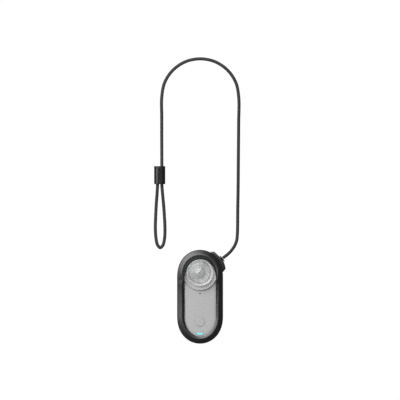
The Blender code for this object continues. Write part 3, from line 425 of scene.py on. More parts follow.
view = {"width": 243.7 * mm, "middle": (-0.05 * mm, 58.94 * mm), "height": 0.6}
keyLight = {"lean": radians(44.0), "side": radians(132.0), "reach": 0.8, "spread": 1.06, "power": 11.8}


def addCamera():
    bpy.ops.object.camera_add(location=(*view["middle"], view["height"]), rotation=(0.0, 0.0, 0.0))
    eye = bpy.context.active_object
    eye.name = "viewCamera"
    eye.data.type = "ORTHO"
    eye.data.ortho_scale = view["width"]
    eye.data.clip_start = 0.01
    eye.data.clip_end = 5.0
    bpy.context.scene.camera = eye


def addLights():
    # one large soft panel above the upper left, and a dim room round it
    lean, side = keyLight["lean"], keyLight["side"]
    toLight = Vector((sin(lean) * cos(side), sin(lean) * sin(side), cos(lean)))
    bpy.ops.object.light_add(type="AREA", location=toLight * keyLight["reach"] + Vector((0.0, 0.03, 0.0)))
    lamp = bpy.context.active_object
    lamp.name = "softPanel"
    lamp.data.shape = "DISK"
    lamp.data.size = keyLight["spread"]
    lamp.data.energy = keyLight["power"]
    lamp.rotation_euler = toLight.to_track_quat("Z", "Y").to_euler()
    lamp.visible_camera = False
    world = bpy.data.worlds.new("studio")
    bpy.context.scene.world = world
    world.use_nodes = True
    background = world.node_tree.nodes["Background"]
    background.inputs["Color"].default_value = (0.96, 0.98, 1.0, 1.0)
    background.inputs["Strength"].default_value = 0.11


def addFloor():
    bpy.ops.mesh.primitive_plane_add(size=8.0, location=(0.0, 0.0, -0.05 * mm))
    floor = startPiece("floor")
    material, nodes, links, shader = newMaterial("paleFloor", (0.0, 0.0, 0.0), 1.0)
    shader.inputs["Specular IOR Level"].default_value = 0.0
    shader.inputs["Emission Color"].default_value = (1.0, 1.0, 1.0, 1.0)
    shader.inputs["Emission Strength"].default_value = 1.02
    floor.data.materials.append(material)
    floor.visible_glossy = False
    floor.visible_diffuse = False
    settle(floor)


addCamera()
addLights()
addFloor()
bpy.context.scene.view_settings.view_transform = "Standard"
print("camera, lights and floor set")


# tether cord

tether = {
    "diameter": 1.9 * mm,
    "sides": 24,
    "ringStep": 0.32 * mm,
    "strands": 4,           # in each direction
    "lay": 2.4 * mm,        # length of one strand's wave along the cord
    "relief": 0.035,        # of the radius
    "route": [
        (13.96, 23.60, 7.40), (18.02, 26.96, 6.60), (20.79, 30.61, 4.60), (22.29, 34.27, 2.80),
        (22.70, 37.92, 1.60), (22.85, 42.50, 1.05), (22.93, 52.54, 1.00), (23.16, 66.00, 1.00),
        (23.32, 85.00, 1.00), (23.50, 106.0, 1.00), (23.54, 121.5, 1.00),
        (21.76, 130.5, 1.00), (16.67, 138.1, 1.00), (9.06, 143.2, 1.00), (0.09, 144.95, 1.00),
        (-8.88, 143.2, 1.00), (-16.49, 138.1, 1.00), (-21.58, 130.5, 1.00), (-23.36, 121.5, 1.00),
        (-23.38, 110.0, 1.00), (-23.37, 98.0, 1.05), (-23.33, 88.0, 1.70), (-23.30, 80.0, 2.38),
        (-23.30, 74.1, 2.40), (-23.30, 68.6, 2.38), (-22.94, 63.5, 2.00), (-22.26, 56.2, 1.15),
        (-21.73, 48.9, 1.00),
        (-21.41, 41.6, 1.00), (-21.60, 36.0, 1.00), (-22.55, 31.6, 1.00), (-24.25, 29.9, 1.00),
        (-25.95, 31.6, 1.00), (-26.90, 36.0, 1.00), (-27.25, 41.6, 1.00), (-27.06, 48.9, 1.00),
        (-26.70, 56.2, 1.15), (-26.17, 63.5, 2.00), (-25.90, 68.6, 2.38), (-25.90, 77.0, 2.38),
    ],
}


def smoothRoute(points, samples):
    nodes = [Vector(point) * mm for point in points]
    nodes = [nodes[0] * 2.0 - nodes[1]] + nodes + [nodes[-1] * 2.0 - nodes[-2]]
    path = []
    for i in range(1, len(nodes) - 2):
        before, start, stop, after = nodes[i - 1:i + 3]
        knots = [0.0]
        for near, far in ((before, start), (start, stop), (stop, after)):
            knots.append(knots[-1] + (far - near).length ** 0.5)
        for j in range(samples):
            t = knots[1] + (knots[2] - knots[1]) * j / samples
            a1 = before.lerp(start, (t - knots[0]) / (knots[1] - knots[0]))
            a2 = start.lerp(stop, (t - knots[1]) / (knots[2] - knots[1]))
            a3 = stop.lerp(after, (t - knots[2]) / (knots[3] - knots[2]))
            b1 = a1.lerp(a2, (t - knots[0]) / (knots[2] - knots[0]))
            b2 = a2.lerp(a3, (t - knots[1]) / (knots[3] - knots[1]))
            path.append(b1.lerp(b2, (t - knots[1]) / (knots[2] - knots[1])))
    path.append(nodes[-2])
    return path


def evenSteps(path, step):
    # walks the curve and drops a point every step
    spots = [path[0].copy()]
    left = step
    for start, stop in zip(path, path[1:]):
        length = (stop - start).length
        walked = 0.0
        while length - walked >= left:
            walked += left
            spots.append(start.lerp(stop, walked / length))
            left = step
        left -= length - walked
    spots.append(path[-1].copy())
    return spots


def strandHeight(turn, along):
    # two sets of strands that cross over and under each other
    phase = 2.0 * pi * along / tether["lay"]
    right = cos(tether["strands"] * turn + phase)
    left = cos(tether["strands"] * turn - phase)
    return max(right, left)


def makeCord():
    spots = evenSteps(smoothRoute(tether["route"], 60), tether["ringStep"])
    count = len(spots)
    sides = tether["sides"]
    bpy.ops.mesh.primitive_grid_add(x_subdivisions=count - 1, y_subdivisions=sides, size=1.0)
    cord = startPiece("tetherCord")
    vertices = cord.data.vertices
    radius = 0.5 * tether["diameter"]
    up = Vector((0.0, 0.0, 1.0))
    frames = []
    side = None
    for i, spot in enumerate(spots):
        ahead = (spots[min(i + 1, count - 1)] - spots[max(i - 1, 0)]).normalized()
        if side is None:
            side = ahead.cross(up).normalized()
        side = (side - ahead * side.dot(ahead)).normalized()
        frames.append((spot, side.copy(), ahead.cross(side)))
    across = count
    for index, vertex in enumerate(vertices):
        i = index % across
        j = index // across
        spot, side, lift = frames[i]
        turn = 2.0 * pi * j / sides
        reach = radius * (1.01 + tether["relief"] * strandHeight(turn, i * tether["ringStep"]))
        vertex.co = spot + (side * cos(turn) + lift * sin(turn)) * reach
    layer = cord.data.uv_layers.active or cord.data.uv_layers.new(name="UVMap")
    for loop in cord.data.loops:
        index = loop.vertex_index
        layer.data[loop.index].uv = (index // across / sides * 3.1,
                                     index % across * tether["ringStep"] / tether["diameter"])
    activate(cord)
    bpy.ops.object.mode_set(mode="EDIT")
    bpy.ops.mesh.select_all(action="SELECT")
    bpy.ops.mesh.remove_doubles(threshold=0.001 * mm)
    bpy.ops.mesh.select_all(action="DESELECT")
    bpy.ops.mesh.select_non_manifold()
    bpy.ops.mesh.edge_face_add()
    bpy.ops.mesh.select_all(action="SELECT")
    bpy.ops.mesh.normals_make_consistent(inside=False)
    bpy.ops.object.mode_set(mode="OBJECT")
    return cord, spots


cord, cordPath = makeCord()
cord.data.materials.append(braid)
smooth(cord, 60.0)
place(cord, "camera", "cord_braid", "tether_cord")


# crimp ferrule and cord anchor

crimp = {"rim": 0.3 * mm, "pitch": 2.6 * mm, "bore": 1.12 * mm}


def makeFerrule():
    low, high = nodeBox("crimp_ferrule")
    centre = 0.5 * (low + high)
    size = high - low
    bpy.ops.mesh.primitive_cylinder_add(vertices=96, radius=0.5 * size.z, depth=size.y,
                                        rotation=(pi / 2, 0.0, 0.0))
    ferrule = startPiece("crimpFerrule")
    settle(ferrule)
    flat = 0.5 * (size.x - size.z)
    for direction in (-1.0, 1.0):
        selectWhere(ferrule, "VERT", lambda co: co.x * direction > 0.001 * mm)
        bpy.ops.transform.translate(value=(direction * flat, 0.0, 0.0))
        bpy.ops.object.mode_set(mode="OBJECT")
    selectWhere(ferrule, "FACE", lambda middle, normal: abs(normal.y) > 0.9)
    bpy.ops.mesh.inset(thickness=0.5 * crimp["rim"])
    bpy.ops.object.mode_set(mode="OBJECT")
    roundEdges(ferrule, crimp["rim"], 4, 60.0)
    for direction in (-1.0, 1.0):
        bpy.ops.mesh.primitive_cylinder_add(vertices=48, radius=crimp["bore"], depth=1.5 * size.y,
                                            location=(0.5 * direction * crimp["pitch"], 0.0, 0.0),
                                            rotation=(pi / 2, 0.0, 0.0))
        tool = startPiece("ferruleBore")
        settle(tool)
        carve(ferrule, tool)
    activate(ferrule)
    bpy.ops.transform.translate(value=centre)
    settle(ferrule)
    smooth(ferrule, 30.0)
    applyModifier(ferrule, "WEIGHTED_NORMAL", keep_sharp=True)
    ferrule.data.materials.append(crimpBlack)
    place(ferrule, "camera", "crimp_polymer", "crimp_ferrule")
    return ferrule


anchor = {"flange": (3.6 * mm, 4.1 * mm, 0.7 * mm), "barrel": 1.28 * mm, "angle": radians(39.0),
          "edge": 0.2 * mm,
          "length": 2.1 * mm, "stand": 1.1 * mm}


def makeAnchor():
    exit = Vector(tether["route"][0]) * mm
    along = Vector((cos(anchor["angle"]), sin(anchor["angle"]), 0.0))
    turn = (0.0, pi / 2, anchor["angle"])
    face = exit - along * 0.25 * mm
    middle = face - along * 0.5 * anchor["flange"][2]
    bpy.ops.mesh.primitive_cube_add(size=1.0, location=middle, rotation=turn)
    piece = startPiece("cordAnchor")
    piece.scale = anchor["flange"]
    settle(piece)
    roundEdges(piece, anchor["edge"], 3, 30.0)
    barrelMiddle = face - along * (0.4 * mm + 0.5 * anchor["length"])
    bpy.ops.mesh.primitive_cylinder_add(vertices=48, radius=anchor["barrel"], depth=anchor["length"],
                                        location=barrelMiddle, rotation=turn)
    tool = startPiece("anchorBarrel")
    settle(tool)
    carve(piece, tool, "UNION")
    smooth(piece, 30.0)
    piece.data.materials.append(anchorBlack)
    place(piece, "camera", "crimp_polymer", "cord_anchor")
    return piece, exit


ferrule = makeFerrule()
cordAnchor, cordExit = makeAnchor()
print("ferrule and anchor made")


# protective sleeve

sleeve = {
    "wall": 0.95 * mm,
    "rimWidth": 4.4 * mm,
    "rimCrest": 17.3 * mm,
    "rimEdge": 0.75 * mm,
    "crestShare": 0.68,         # how far across the rim its crest lies
    "crestSoft": 0.55 * mm,     # how far to each side the crest is rounded
    "shoulderSlope": 0.44,
    "shoulderRound": 1.0 * mm,
    "hoodEdge": 0.5 * mm,
    "hoodRise": 1.8 * mm,
    "hoodHalfAngle": 121.0,     # degrees from the top of the lens to the hood's tips
    "hoodFade": 12.0,           # degrees over which the edge rises at the tips
    "wallLead": 50.0,           # the wall and the crest start to rise this much before them
    "wallFade": 80.0,
    "hoodCrestRadius": 11.3 * mm,
    "openingTop": 11.1 * mm,
    "openingLow": -12.0 * mm,
    "topRim": 5.4 * mm,
    "lowRim": 4.3 * mm,
    "backLip": 2.3 * mm,
    "bottom": 0.2 * mm,
    "capSteps": 76,
    "sideSteps": 30,
}
stage = {"foot": 10.7 * mm, "rim": 10.5 * mm, "height": 16.9 * mm, "drop": 0.6 * mm, "bore": 8.9 * mm,
         "ledge": 7.6 * mm, "ledgeLow": 15.0 * mm, "ledgeHigh": 15.8 * mm}


def capsule(halfWidth, topCentre, topRise, lowCentre, lowRise, power, capSteps, sideSteps):
    points = []
    for i in range(sideSteps):
        points.append((halfWidth, lowCentre + (topCentre - lowCentre) * i / sideSteps))
    for i in range(capSteps):
        turn = pi * i / capSteps
        points.append((halfWidth * cos(turn), topCentre + topRise * sin(turn) ** (2.0 / power)))
    for i in range(sideSteps):
        points.append((-halfWidth, topCentre + (lowCentre - topCentre) * i / sideSteps))
    for i in range(capSteps):
        turn = pi * i / capSteps
        points.append((-halfWidth * cos(turn), lowCentre - lowRise * sin(turn) ** (2.0 / power)))
    return points


def cameraOutline(inset, capSteps=60, sideSteps=12):
    rise = camera["halfLength"] - camera["capCentre"] - inset
    return capsule(camera["halfWidth"] - inset, camera["capCentre"], rise, -camera["capCentre"], rise,
                   camera["capPower"], capSteps, sideSteps)


def sleeveOutlines():
    halfLength = sleeveHigh.y
    halfWidth = -sleeveLow.x
    rise = halfLength - camera["capCentre"]
    steps = (sleeve["capSteps"], sleeve["sideSteps"])
    outside = capsule(halfWidth, camera["capCentre"], rise, -camera["capCentre"], rise, camera["capPower"],
                      *steps)
    topRise = halfLength - sleeve["topRim"] - sleeve["openingTop"]
    lowRise = halfLength - sleeve["lowRim"] + sleeve["openingLow"]
    opening = capsule(halfWidth - sleeve["rimWidth"], sleeve["openingTop"], topRise, sleeve["openingLow"],
                      lowRise, 2.0, *steps)
    return outside, opening


def shoulderClear(depth):
    radius = camera["faceFillet"] + camera["gap"]
    centre = sleeve["wall"] + camera["gap"] + camera["faceFillet"]
    along = min(max(centre - depth, 0.0), radius)
    return camera["faceHeight"] - camera["faceFillet"] + sqrt(radius ** 2 - along ** 2)


def stageClear(distance):
    gap = 0.3 * mm
    reach = 0.8 * mm
    if distance > stage["foot"] + reach:
        return 0.0
    slope = (stage["height"] + gap - camera["faceHeight"]) / (reach - gap)
    return min(camera["faceHeight"] + (stage["foot"] + reach - distance) * slope, stage["height"] + gap)


def hoodWeight(x, y, lead, fade):
    distance = hypot(x, y - lensY)
    offTop = degrees(acos((y - lensY) / distance))
    t = min(max((sleeve["hoodHalfAngle"] + lead - offTop) / fade, 0.0), 1.0)
    return t * t * (3.0 - 2.0 * t)


def sleeveSection(outer, opening):
    span = hypot(opening[0] - outer[0], opening[1] - outer[1])

    def spot(depth):
        share = depth / span
        return outer[0] + (opening[0] - outer[0]) * share, outer[1] + (opening[1] - outer[1]) * share

    def under(depth):
        x, y = spot(depth)
        return max(shoulderClear(depth), stageClear(hypot(x, y - lensY)))

    rimDepth = sleeve["crestShare"] * span
    weight = hoodWeight(*spot(rimDepth), 0.0, sleeve["hoodFade"])
    wallWeight = hoodWeight(*spot(rimDepth), sleeve["wallLead"], sleeve["wallFade"])
    outerRadius = hypot(outer[0], outer[1] - lensY)
    openingRadius = hypot(opening[0], opening[1] - lensY)
    hoodDepth = span * (outerRadius - sleeve["hoodCrestRadius"]) / max(outerRadius - openingRadius, 0.1 * mm)
    crestDepth = rimDepth + (hoodDepth - rimDepth) * weight
    edgeLow = under(span)
    edgeHigh = edgeLow + sleeve["rimEdge"] + (sleeve["hoodEdge"] - sleeve["rimEdge"]) * weight
    crest = max(sleeve["rimCrest"] + sleeve["hoodRise"] * wallWeight, edgeHigh + 0.2 * mm)
    corner = sleeve["rimCrest"] - sleeve["shoulderSlope"] * rimDepth + sleeve["hoodRise"] * wallWeight
    run = span - crestDepth
    section = []
    for i in range(9):
        turn = 0.5 * pi * i / 8
        section.append((sleeve["backLip"] * (1.0 - sin(turn)),
                        sleeve["bottom"] + 2.4 * mm * (1.0 - cos(turn))))
    for height in (4.5, 6.0, 6.75, 6.9, 7.1, 7.25, 8.5, 10.5, 12.5):
        # a fine parting line runs round the wall
        groove = 0.07 * mm if 6.85 < height < 7.15 else 0.0
        section.append((groove, height * mm))
    # round corner over the wall, then the slope of the shoulder
    slope = (crest - corner) / crestDepth
    bend = 0.5 * pi - atan2(crest - corner, crestDepth)
    roundLow = corner - sleeve["shoulderRound"] * tan(0.5 * bend)
    for i in range(9):
        turn = bend * i / 8
        section.append((sleeve["shoulderRound"] * (1.0 - cos(turn)),
                        roundLow + sleeve["shoulderRound"] * sin(turn)))
    soft = min(sleeve["crestSoft"], 0.4 * run)
    before = (crestDepth - soft, crest - slope * soft)

    def inside(share):
        # straight down to the edge along the rim, rounded over inside the hood
        fall = share + (1.0 - sqrt(1.0 - share ** 2) - share) * weight
        return crestDepth + run * share, crest - (crest - edgeHigh) * fall

    start = section[-1]
    for i in range(1, 3):
        section.append((start[0] + (before[0] - start[0]) * i / 3, start[1] + (before[1] - start[1]) * i / 3))
    after = inside(soft / run)
    for i in range(9):
        t = i / 8
        section.append(tuple(p * (1.0 - t) ** 2 + q * 2.0 * t * (1.0 - t) + r * t ** 2
                             for p, q, r in zip(before, (crestDepth, crest), after)))
    for i in range(1, 8):
        section.append(inside(soft / run + (1.0 - soft / run) * sin(0.5 * pi * i / 8)))
    lip = min(0.16 * mm, 0.3 * (edgeHigh - edgeLow))
    section.append((span - 0.3 * lip, edgeHigh + 0.1 * lip))
    section.append((span, edgeHigh - lip))
    section.append((span, edgeLow + 0.5 * lip))
    for i in range(16):
        share = i / 15
        depth = span + (sleeve["wall"] - span) * share ** 0.9
        section.append((depth, under(depth)))
    radius = camera["backFillet"] + camera["gap"]
    for i in range(5):
        depth = sleeve["wall"] + (sleeve["backLip"] - sleeve["wall"]) * (i / 4.0) ** 1.8
        along = sleeve["wall"] + radius - depth
        section.append((depth, camera["backFillet"] - sqrt(max(radius ** 2 - along ** 2, 0.0))))
    return [(*spot(depth), height) for depth, height in section]


lug = {
    "low": 4.2 * mm,
    "high": 11.0 * mm,
    "edge": 0.5 * mm,
    "bore": 1.5 * mm,
    "seatHalf": 2.3 * mm,
    # corners below and above the anchor's seat, from the sleeve's own width and length
    "foot": [(0.0, -13.6), (1.6, -11.6), (1.42, -10.2)],
    "head": [(-5.5, -1.05), (-7.2, -1.25), (-8.3, -1.75)],
}


def makeLug():
    halfWidth = -sleeveLow.x
    halfLength = sleeveHigh.y
    foot, head = [[(halfWidth + x * mm, halfLength + y * mm) for x, y in lug[end]]
                  for end in ("foot", "head")]
    along = Vector((cos(anchor["angle"]), sin(anchor["angle"]), 0.0))
    face = cordExit - along * anchor["stand"]
    across = Vector((-along.y, along.x, 0.0)) * lug["seatHalf"]
    outside = foot + [tuple((face - across).xy), tuple((face + across).xy)] + head
    inset = 0.5 * sleeve["wall"]
    rise = halfLength - camera["capCentre"] - inset
    wall = capsule(halfWidth - inset, camera["capCentre"], rise, -camera["capCentre"], rise,
                   camera["capPower"], 60, 20)
    inside = [(x, y) for x, y in wall if y > outside[0][1] and x > outside[-1][0]]
    outline = outside + list(reversed(inside))
    bpy.ops.mesh.primitive_circle_add(vertices=len(outline), radius=1.0 * mm, fill_type="NGON")
    piece = startPiece("lugBlock")
    for vertex, (x, y) in zip(piece.data.vertices, outline):
        vertex.co = (x, y, lug["low"])
    activate(piece)
    bpy.ops.object.mode_set(mode="EDIT")
    bpy.ops.mesh.select_all(action="SELECT")
    bpy.ops.mesh.extrude_region_move(TRANSFORM_OT_translate={"value": (0.0, 0.0, lug["high"] - lug["low"])})
    bpy.ops.mesh.select_all(action="SELECT")
    bpy.ops.mesh.normals_make_consistent(inside=False)
    bpy.ops.object.mode_set(mode="OBJECT")
    corners = [Vector((x, y, 0.0)) for x, y in outside]

    def onOutside(co):
        return min((Vector((co.x, co.y, 0.0)) - corner).length for corner in corners[1:7]) < 0.01 * mm

    selectWhere(piece, "EDGE", onOutside)
    bpy.ops.mesh.bevel(offset=lug["edge"], segments=5, affect="EDGES", clamp_overlap=True)
    bpy.ops.object.mode_set(mode="OBJECT")
    return piece


def makeSleeve():
    outside, opening = sleeveOutlines()
    sections = [sleeveSection(a, b) for a, b in zip(outside, opening)]
    count = len(sections)
    ring = len(sections[0])
    bpy.ops.mesh.primitive_grid_add(x_subdivisions=ring, y_subdivisions=count, size=1.0)
    piece = startPiece("protectiveSleeve")
    # the grid is rolled up both ways: its last row and column lie on the first ones
    for index, vertex in enumerate(piece.data.vertices):
        vertex.co = sections[(index // (ring + 1)) % count][(index % (ring + 1)) % ring]
    activate(piece)
    bpy.ops.object.mode_set(mode="EDIT")
    bpy.ops.mesh.select_all(action="SELECT")
    bpy.ops.mesh.remove_doubles(threshold=0.001 * mm)
    bpy.ops.mesh.normals_make_consistent(inside=False)
    bpy.ops.object.mode_set(mode="OBJECT")
    carve(piece, makeLug(), "UNION")
    along = Vector((cos(anchor["angle"]), sin(anchor["angle"]), 0.0))
    spot = cordExit - along * anchor["stand"]
    bpy.ops.mesh.primitive_cylinder_add(vertices=48, radius=lug["bore"], depth=3.2 * mm, location=spot,
                                        rotation=(0.0, pi / 2, anchor["angle"]))
    tool = startPiece("anchorBore")
    settle(tool)
    carve(piece, tool)
    smooth(piece, 40.0)
    piece.data.materials.append(silicone)
    return place(piece, "camera", "sleeve_silicone", "protective_sleeve")


makeSleeve()
print("sleeve made")


# camera shells

screwPost = {"x": 9.4 * mm, "y": (1.0 * mm, -12.0 * mm), "radius": 1.3 * mm, "low": 9.2 * mm,
             "bore": 0.75 * mm, "boreTop": 12.3 * mm}
guard = {"pocket": 7.75 * mm, "throat": 6.52 * mm, "skirt": 7.4 * mm, "tabSpan": radians(40.0), "tabs": 3,
         "twist": radians(30.0), "clear": 0.3 * mm, "tabHeight": 0.65 * mm}
button = {"radius": 2.8 * mm, "hole": 2.88 * mm, "markOuter": 1.96 * mm, "markInner": 1.78 * mm,
          "markDepth": 0.05 * mm}
statusThickness = 1.35 * mm


def extrudedOutline(name, outline, low, high):
    bpy.ops.mesh.primitive_circle_add(vertices=len(outline), radius=1.0 * mm, fill_type="NGON")
    piece = startPiece(name)
    for vertex, (x, y) in zip(piece.data.vertices, outline):
        vertex.co = (x, y, low)
    activate(piece)
    bpy.ops.object.mode_set(mode="EDIT")
    bpy.ops.mesh.select_all(action="SELECT")
    bpy.ops.mesh.extrude_region_move(TRANSFORM_OT_translate={"value": (0.0, 0.0, high - low)})
    bpy.ops.mesh.select_all(action="SELECT")
    bpy.ops.mesh.normals_make_consistent(inside=False)
    bpy.ops.object.mode_set(mode="OBJECT")
    return piece


def roundRim(piece, height, width, segments):
    selectWhere(piece, "EDGE", lambda co: abs(co.z - height) < 0.001 * mm)
    bpy.ops.mesh.bevel(offset=width, segments=segments, affect="EDGES", clamp_overlap=False)
    bpy.ops.object.mode_set(mode="OBJECT")


def statusOutline(gap, steps=10):
    half = 0.5 * (statusHigh.x - statusLow.x)
    radius = 0.5 * statusThickness + gap
    middle = statusLow.y + 0.5 * statusThickness
    smile = (statusHigh.y - statusLow.y) - statusThickness
    reach = half - 0.5 * statusThickness
    points = []
    for side in (1.0, -1.0):
        for i in range(steps + 1):
            x = side * reach * (2.0 * i / steps - 1.0)
            points.append((x, middle - side * radius + smile * (x / reach) ** 2))
        for i in range(1, steps):
            turn = -0.5 * pi * side + pi * i / steps
            points.append((side * reach + radius * cos(turn), middle + smile + radius * sin(turn)))
    return points


def tabOutline(inner, outer, middle, span, steps=12):
    turns = [middle - 0.5 * span + span * i / steps for i in range(steps + 1)]
    outline = [(outer * cos(turn), lensY + outer * sin(turn)) for turn in turns]
    return outline + [(inner * cos(turn), lensY + inner * sin(turn)) for turn in reversed(turns)]


def makeFrontShell():
    top = camera["faceHeight"]
    piece = extrudedOutline("frontShell", cameraOutline(0.0), coverLow.z, top)
    roundRim(piece, top, camera["faceFillet"], 14)
    inner = extrudedOutline("frontHollow", cameraOutline(camera["wall"], 40, 6), coverLow.z - 1.0 * mm,
                            top - camera["wall"])
    roundRim(inner, top - camera["wall"], camera["faceFillet"] - camera["wall"], 6)
    carve(piece, inner)
    drop = stage["height"] - stage["drop"]
    profile = [(stage["ledge"], stage["ledgeLow"]), (stage["bore"], stage["ledgeLow"]),
               (stage["bore"], top - 1.9 * mm),
               (stage["foot"] - 0.6 * mm, top - 1.9 * mm), (stage["foot"], top - 1.0 * mm),
               (stage["foot"], top),
               (stage["rim"], stage["height"]), (stage["rim"] - 0.25 * mm, stage["height"]),
               (stage["bore"] + 0.1 * mm, drop), (stage["bore"], drop - 0.15 * mm),
               (stage["bore"], stage["ledgeHigh"]), (stage["ledge"], stage["ledgeHigh"])]
    dish = lathe("lensStage", profile, atLens, 144, soften=0.09 * mm)
    carve(piece, post("stageHole", stage["bore"] + 0.4 * mm, top - 4.0 * mm, top + 2.0 * mm, atLens, 144))
    carve(piece, dish, "UNION")
    middle = (0.0, 0.5 * (buttonLow.y + buttonHigh.y))
    carve(piece, post("buttonHole", button["hole"], top - 2.5 * mm, top + 1.0 * mm, middle, 96))
    carve(piece, post("micHole", 0.4 * mm, top - 2.5 * mm, top + 1.0 * mm,
                      (0.0, nodeBox("mic_mesh")[0].y + 1.1 * mm), 32))
    carve(piece, extrudedOutline("statusSlot", statusOutline(0.12 * mm), top - 2.5 * mm, top + 1.0 * mm))
    # gates in the ledge that let the guard's tabs out at the end of the twist
    for i in range(guard["tabs"]):
        turn = 2.0 * pi * i / guard["tabs"] + guard["twist"]
        outline = tabOutline(stage["ledge"] - 0.5 * mm, guardRadius + 0.05 * mm, turn,
                             guard["tabSpan"] + radians(4.0))
        carve(piece, extrudedOutline("tabGate", outline, stage["ledgeLow"] - 0.3 * mm,
                                     stage["ledgeHigh"] + 0.3 * mm))
    # posts that the housing screws bite into
    for x in (-screwPost["x"], screwPost["x"]):
        for y in screwPost["y"]:
            carve(piece, post("screwPost", screwPost["radius"], screwPost["low"], top - 1.0 * mm, (x, y)),
                  "UNION")
            carve(piece, post("screwBore", screwPost["bore"], screwPost["low"] - 1.0 * mm,
                              screwPost["boreTop"], (x, y), 32))
    smooth(piece, 30.0)
    piece.data.materials.append(shell)
    return place(piece, "camera", "shell_grey", "front_cover")


def makeRearShell():
    piece = extrudedOutline("rearShell", cameraOutline(0.0), backLow.z, backHigh.z)
    roundRim(piece, backLow.z, camera["backFillet"], 12)
    inner = extrudedOutline("rearHollow", cameraOutline(camera["wall"], 40, 6), 1.0 * mm,
                            backHigh.z + 1.0 * mm)
    roundRim(inner, 1.0 * mm, camera["backFillet"] - camera["wall"], 6)
    carve(piece, inner)
    low, high = nodeBox("contact_block")
    bpy.ops.mesh.primitive_cube_add(size=1.0, location=(0.0, 0.5 * (low.y + high.y), 0.0))
    tool = startPiece("contactSlot")
    tool.scale = (high.x - low.x + 0.4 * mm, high.y - low.y + 0.4 * mm, 4.0 * mm)
    settle(tool)
    carve(piece, tool)
    smooth(piece, 30.0)
    piece.data.materials.append(shell)
    return place(piece, "camera", "shell_grey", "rear_cover")


makeFrontShell()
makeRearShell()
print("shells made")


# lens guard

def makeGuardRing():
    top = guardHigh.z
    low = guardLow.z
    floor = stage["ledgeHigh"] + guard["clear"]
    lens = glassLow.z
    profile = [(guard["throat"], low), (guard["skirt"], low), (guard["skirt"], floor),
               (guardRadius - 0.15 * mm, floor),
               (guardRadius, floor + 0.15 * mm), (guardRadius, top - 0.3 * mm),
               (guardRadius - 0.12 * mm, top), (guard["pocket"], top), (guard["pocket"], lens - 0.15 * mm),
               (guard["pocket"] - 0.1 * mm, lens - 0.15 * mm),
               (guard["throat"], lens - 1.15 * mm)]
    piece = lathe("guardRing", profile, atLens, 144, soften=0.07 * mm)
    tabRadius = guardRadius - 0.15 * mm
    for i in range(guard["tabs"]):
        outline = tabOutline(guard["skirt"] - 0.3 * mm, tabRadius, 2.0 * pi * i / guard["tabs"],
                             guard["tabSpan"])
        tab = extrudedOutline("guardTab", outline, low, low + guard["tabHeight"])
        carve(piece, tab, "UNION")
    smooth(piece, 30.0)
    piece.visible_shadow = False        # it stands in light from all sides
    # the lightened satin, painted light against the shade round the lens
    piece.data.materials.append(guardShellLightened)
    return place(piece, "lens_guard", "shell_grey", "lens_guard_ring")


def makeGuardGlass():
    radius = guard["pocket"] - 0.04 * mm
    rim = guardHigh.z - 0.1 * mm
    crown = glassHigh.z
    profile = [(0.0, glassLow.z), (radius - 0.15 * mm, glassLow.z), (radius, glassLow.z + 0.15 * mm),
               (radius, rim - 0.12 * mm), (radius - 0.1 * mm, rim)]
    steps = 26
    for i in range(1, steps + 1):
        share = i / steps
        profile.append(((radius - 0.1 * mm) * (1.0 - share),
                        rim + (crown - rim) * (1.0 - (1.0 - share) ** 2)))
    piece = lathe("guardGlass", profile, atLens, 144, closed=False)
    smooth(piece, 30.0)
    piece.data.materials.append(guardGlass)
    return place(piece, "lens_guard", "guard_glass", "lens_guard_glass")


makeGuardRing()
makeGuardGlass()
print("lens guard made")


# lens face under the guard

lens = {"pupil": 3.0 * mm, "head": 6.38 * mm, "dome": 0.6 * mm}


def makeRetainer():
    low, high = nodeBox("lens_retainer")
    top = high.z
    inner = lens["pupil"] + 0.05 * mm
    profile = [(inner, low.z), (lens["head"], low.z), (lens["head"], top - 0.06 * mm),
               (lens["head"] - 0.06 * mm, top),
               (lens["head"] - 0.75 * mm, top), (lens["head"] - 0.95 * mm, top - 0.2 * mm),
               (lens["head"] - 1.7 * mm, top - 0.3 * mm), (inner + 0.7 * mm, top - 0.4 * mm),
               (inner + 0.4 * mm, top - 0.3 * mm), (inner, top - 0.3 * mm)]
    piece = lathe("lensRetainer", profile, atLens, 128, soften=0.05 * mm)
    smooth(piece, 30.0)
    piece.data.materials.append(lensGrey)
    return place(piece, "camera", "black_polymer", "lens_retainer")


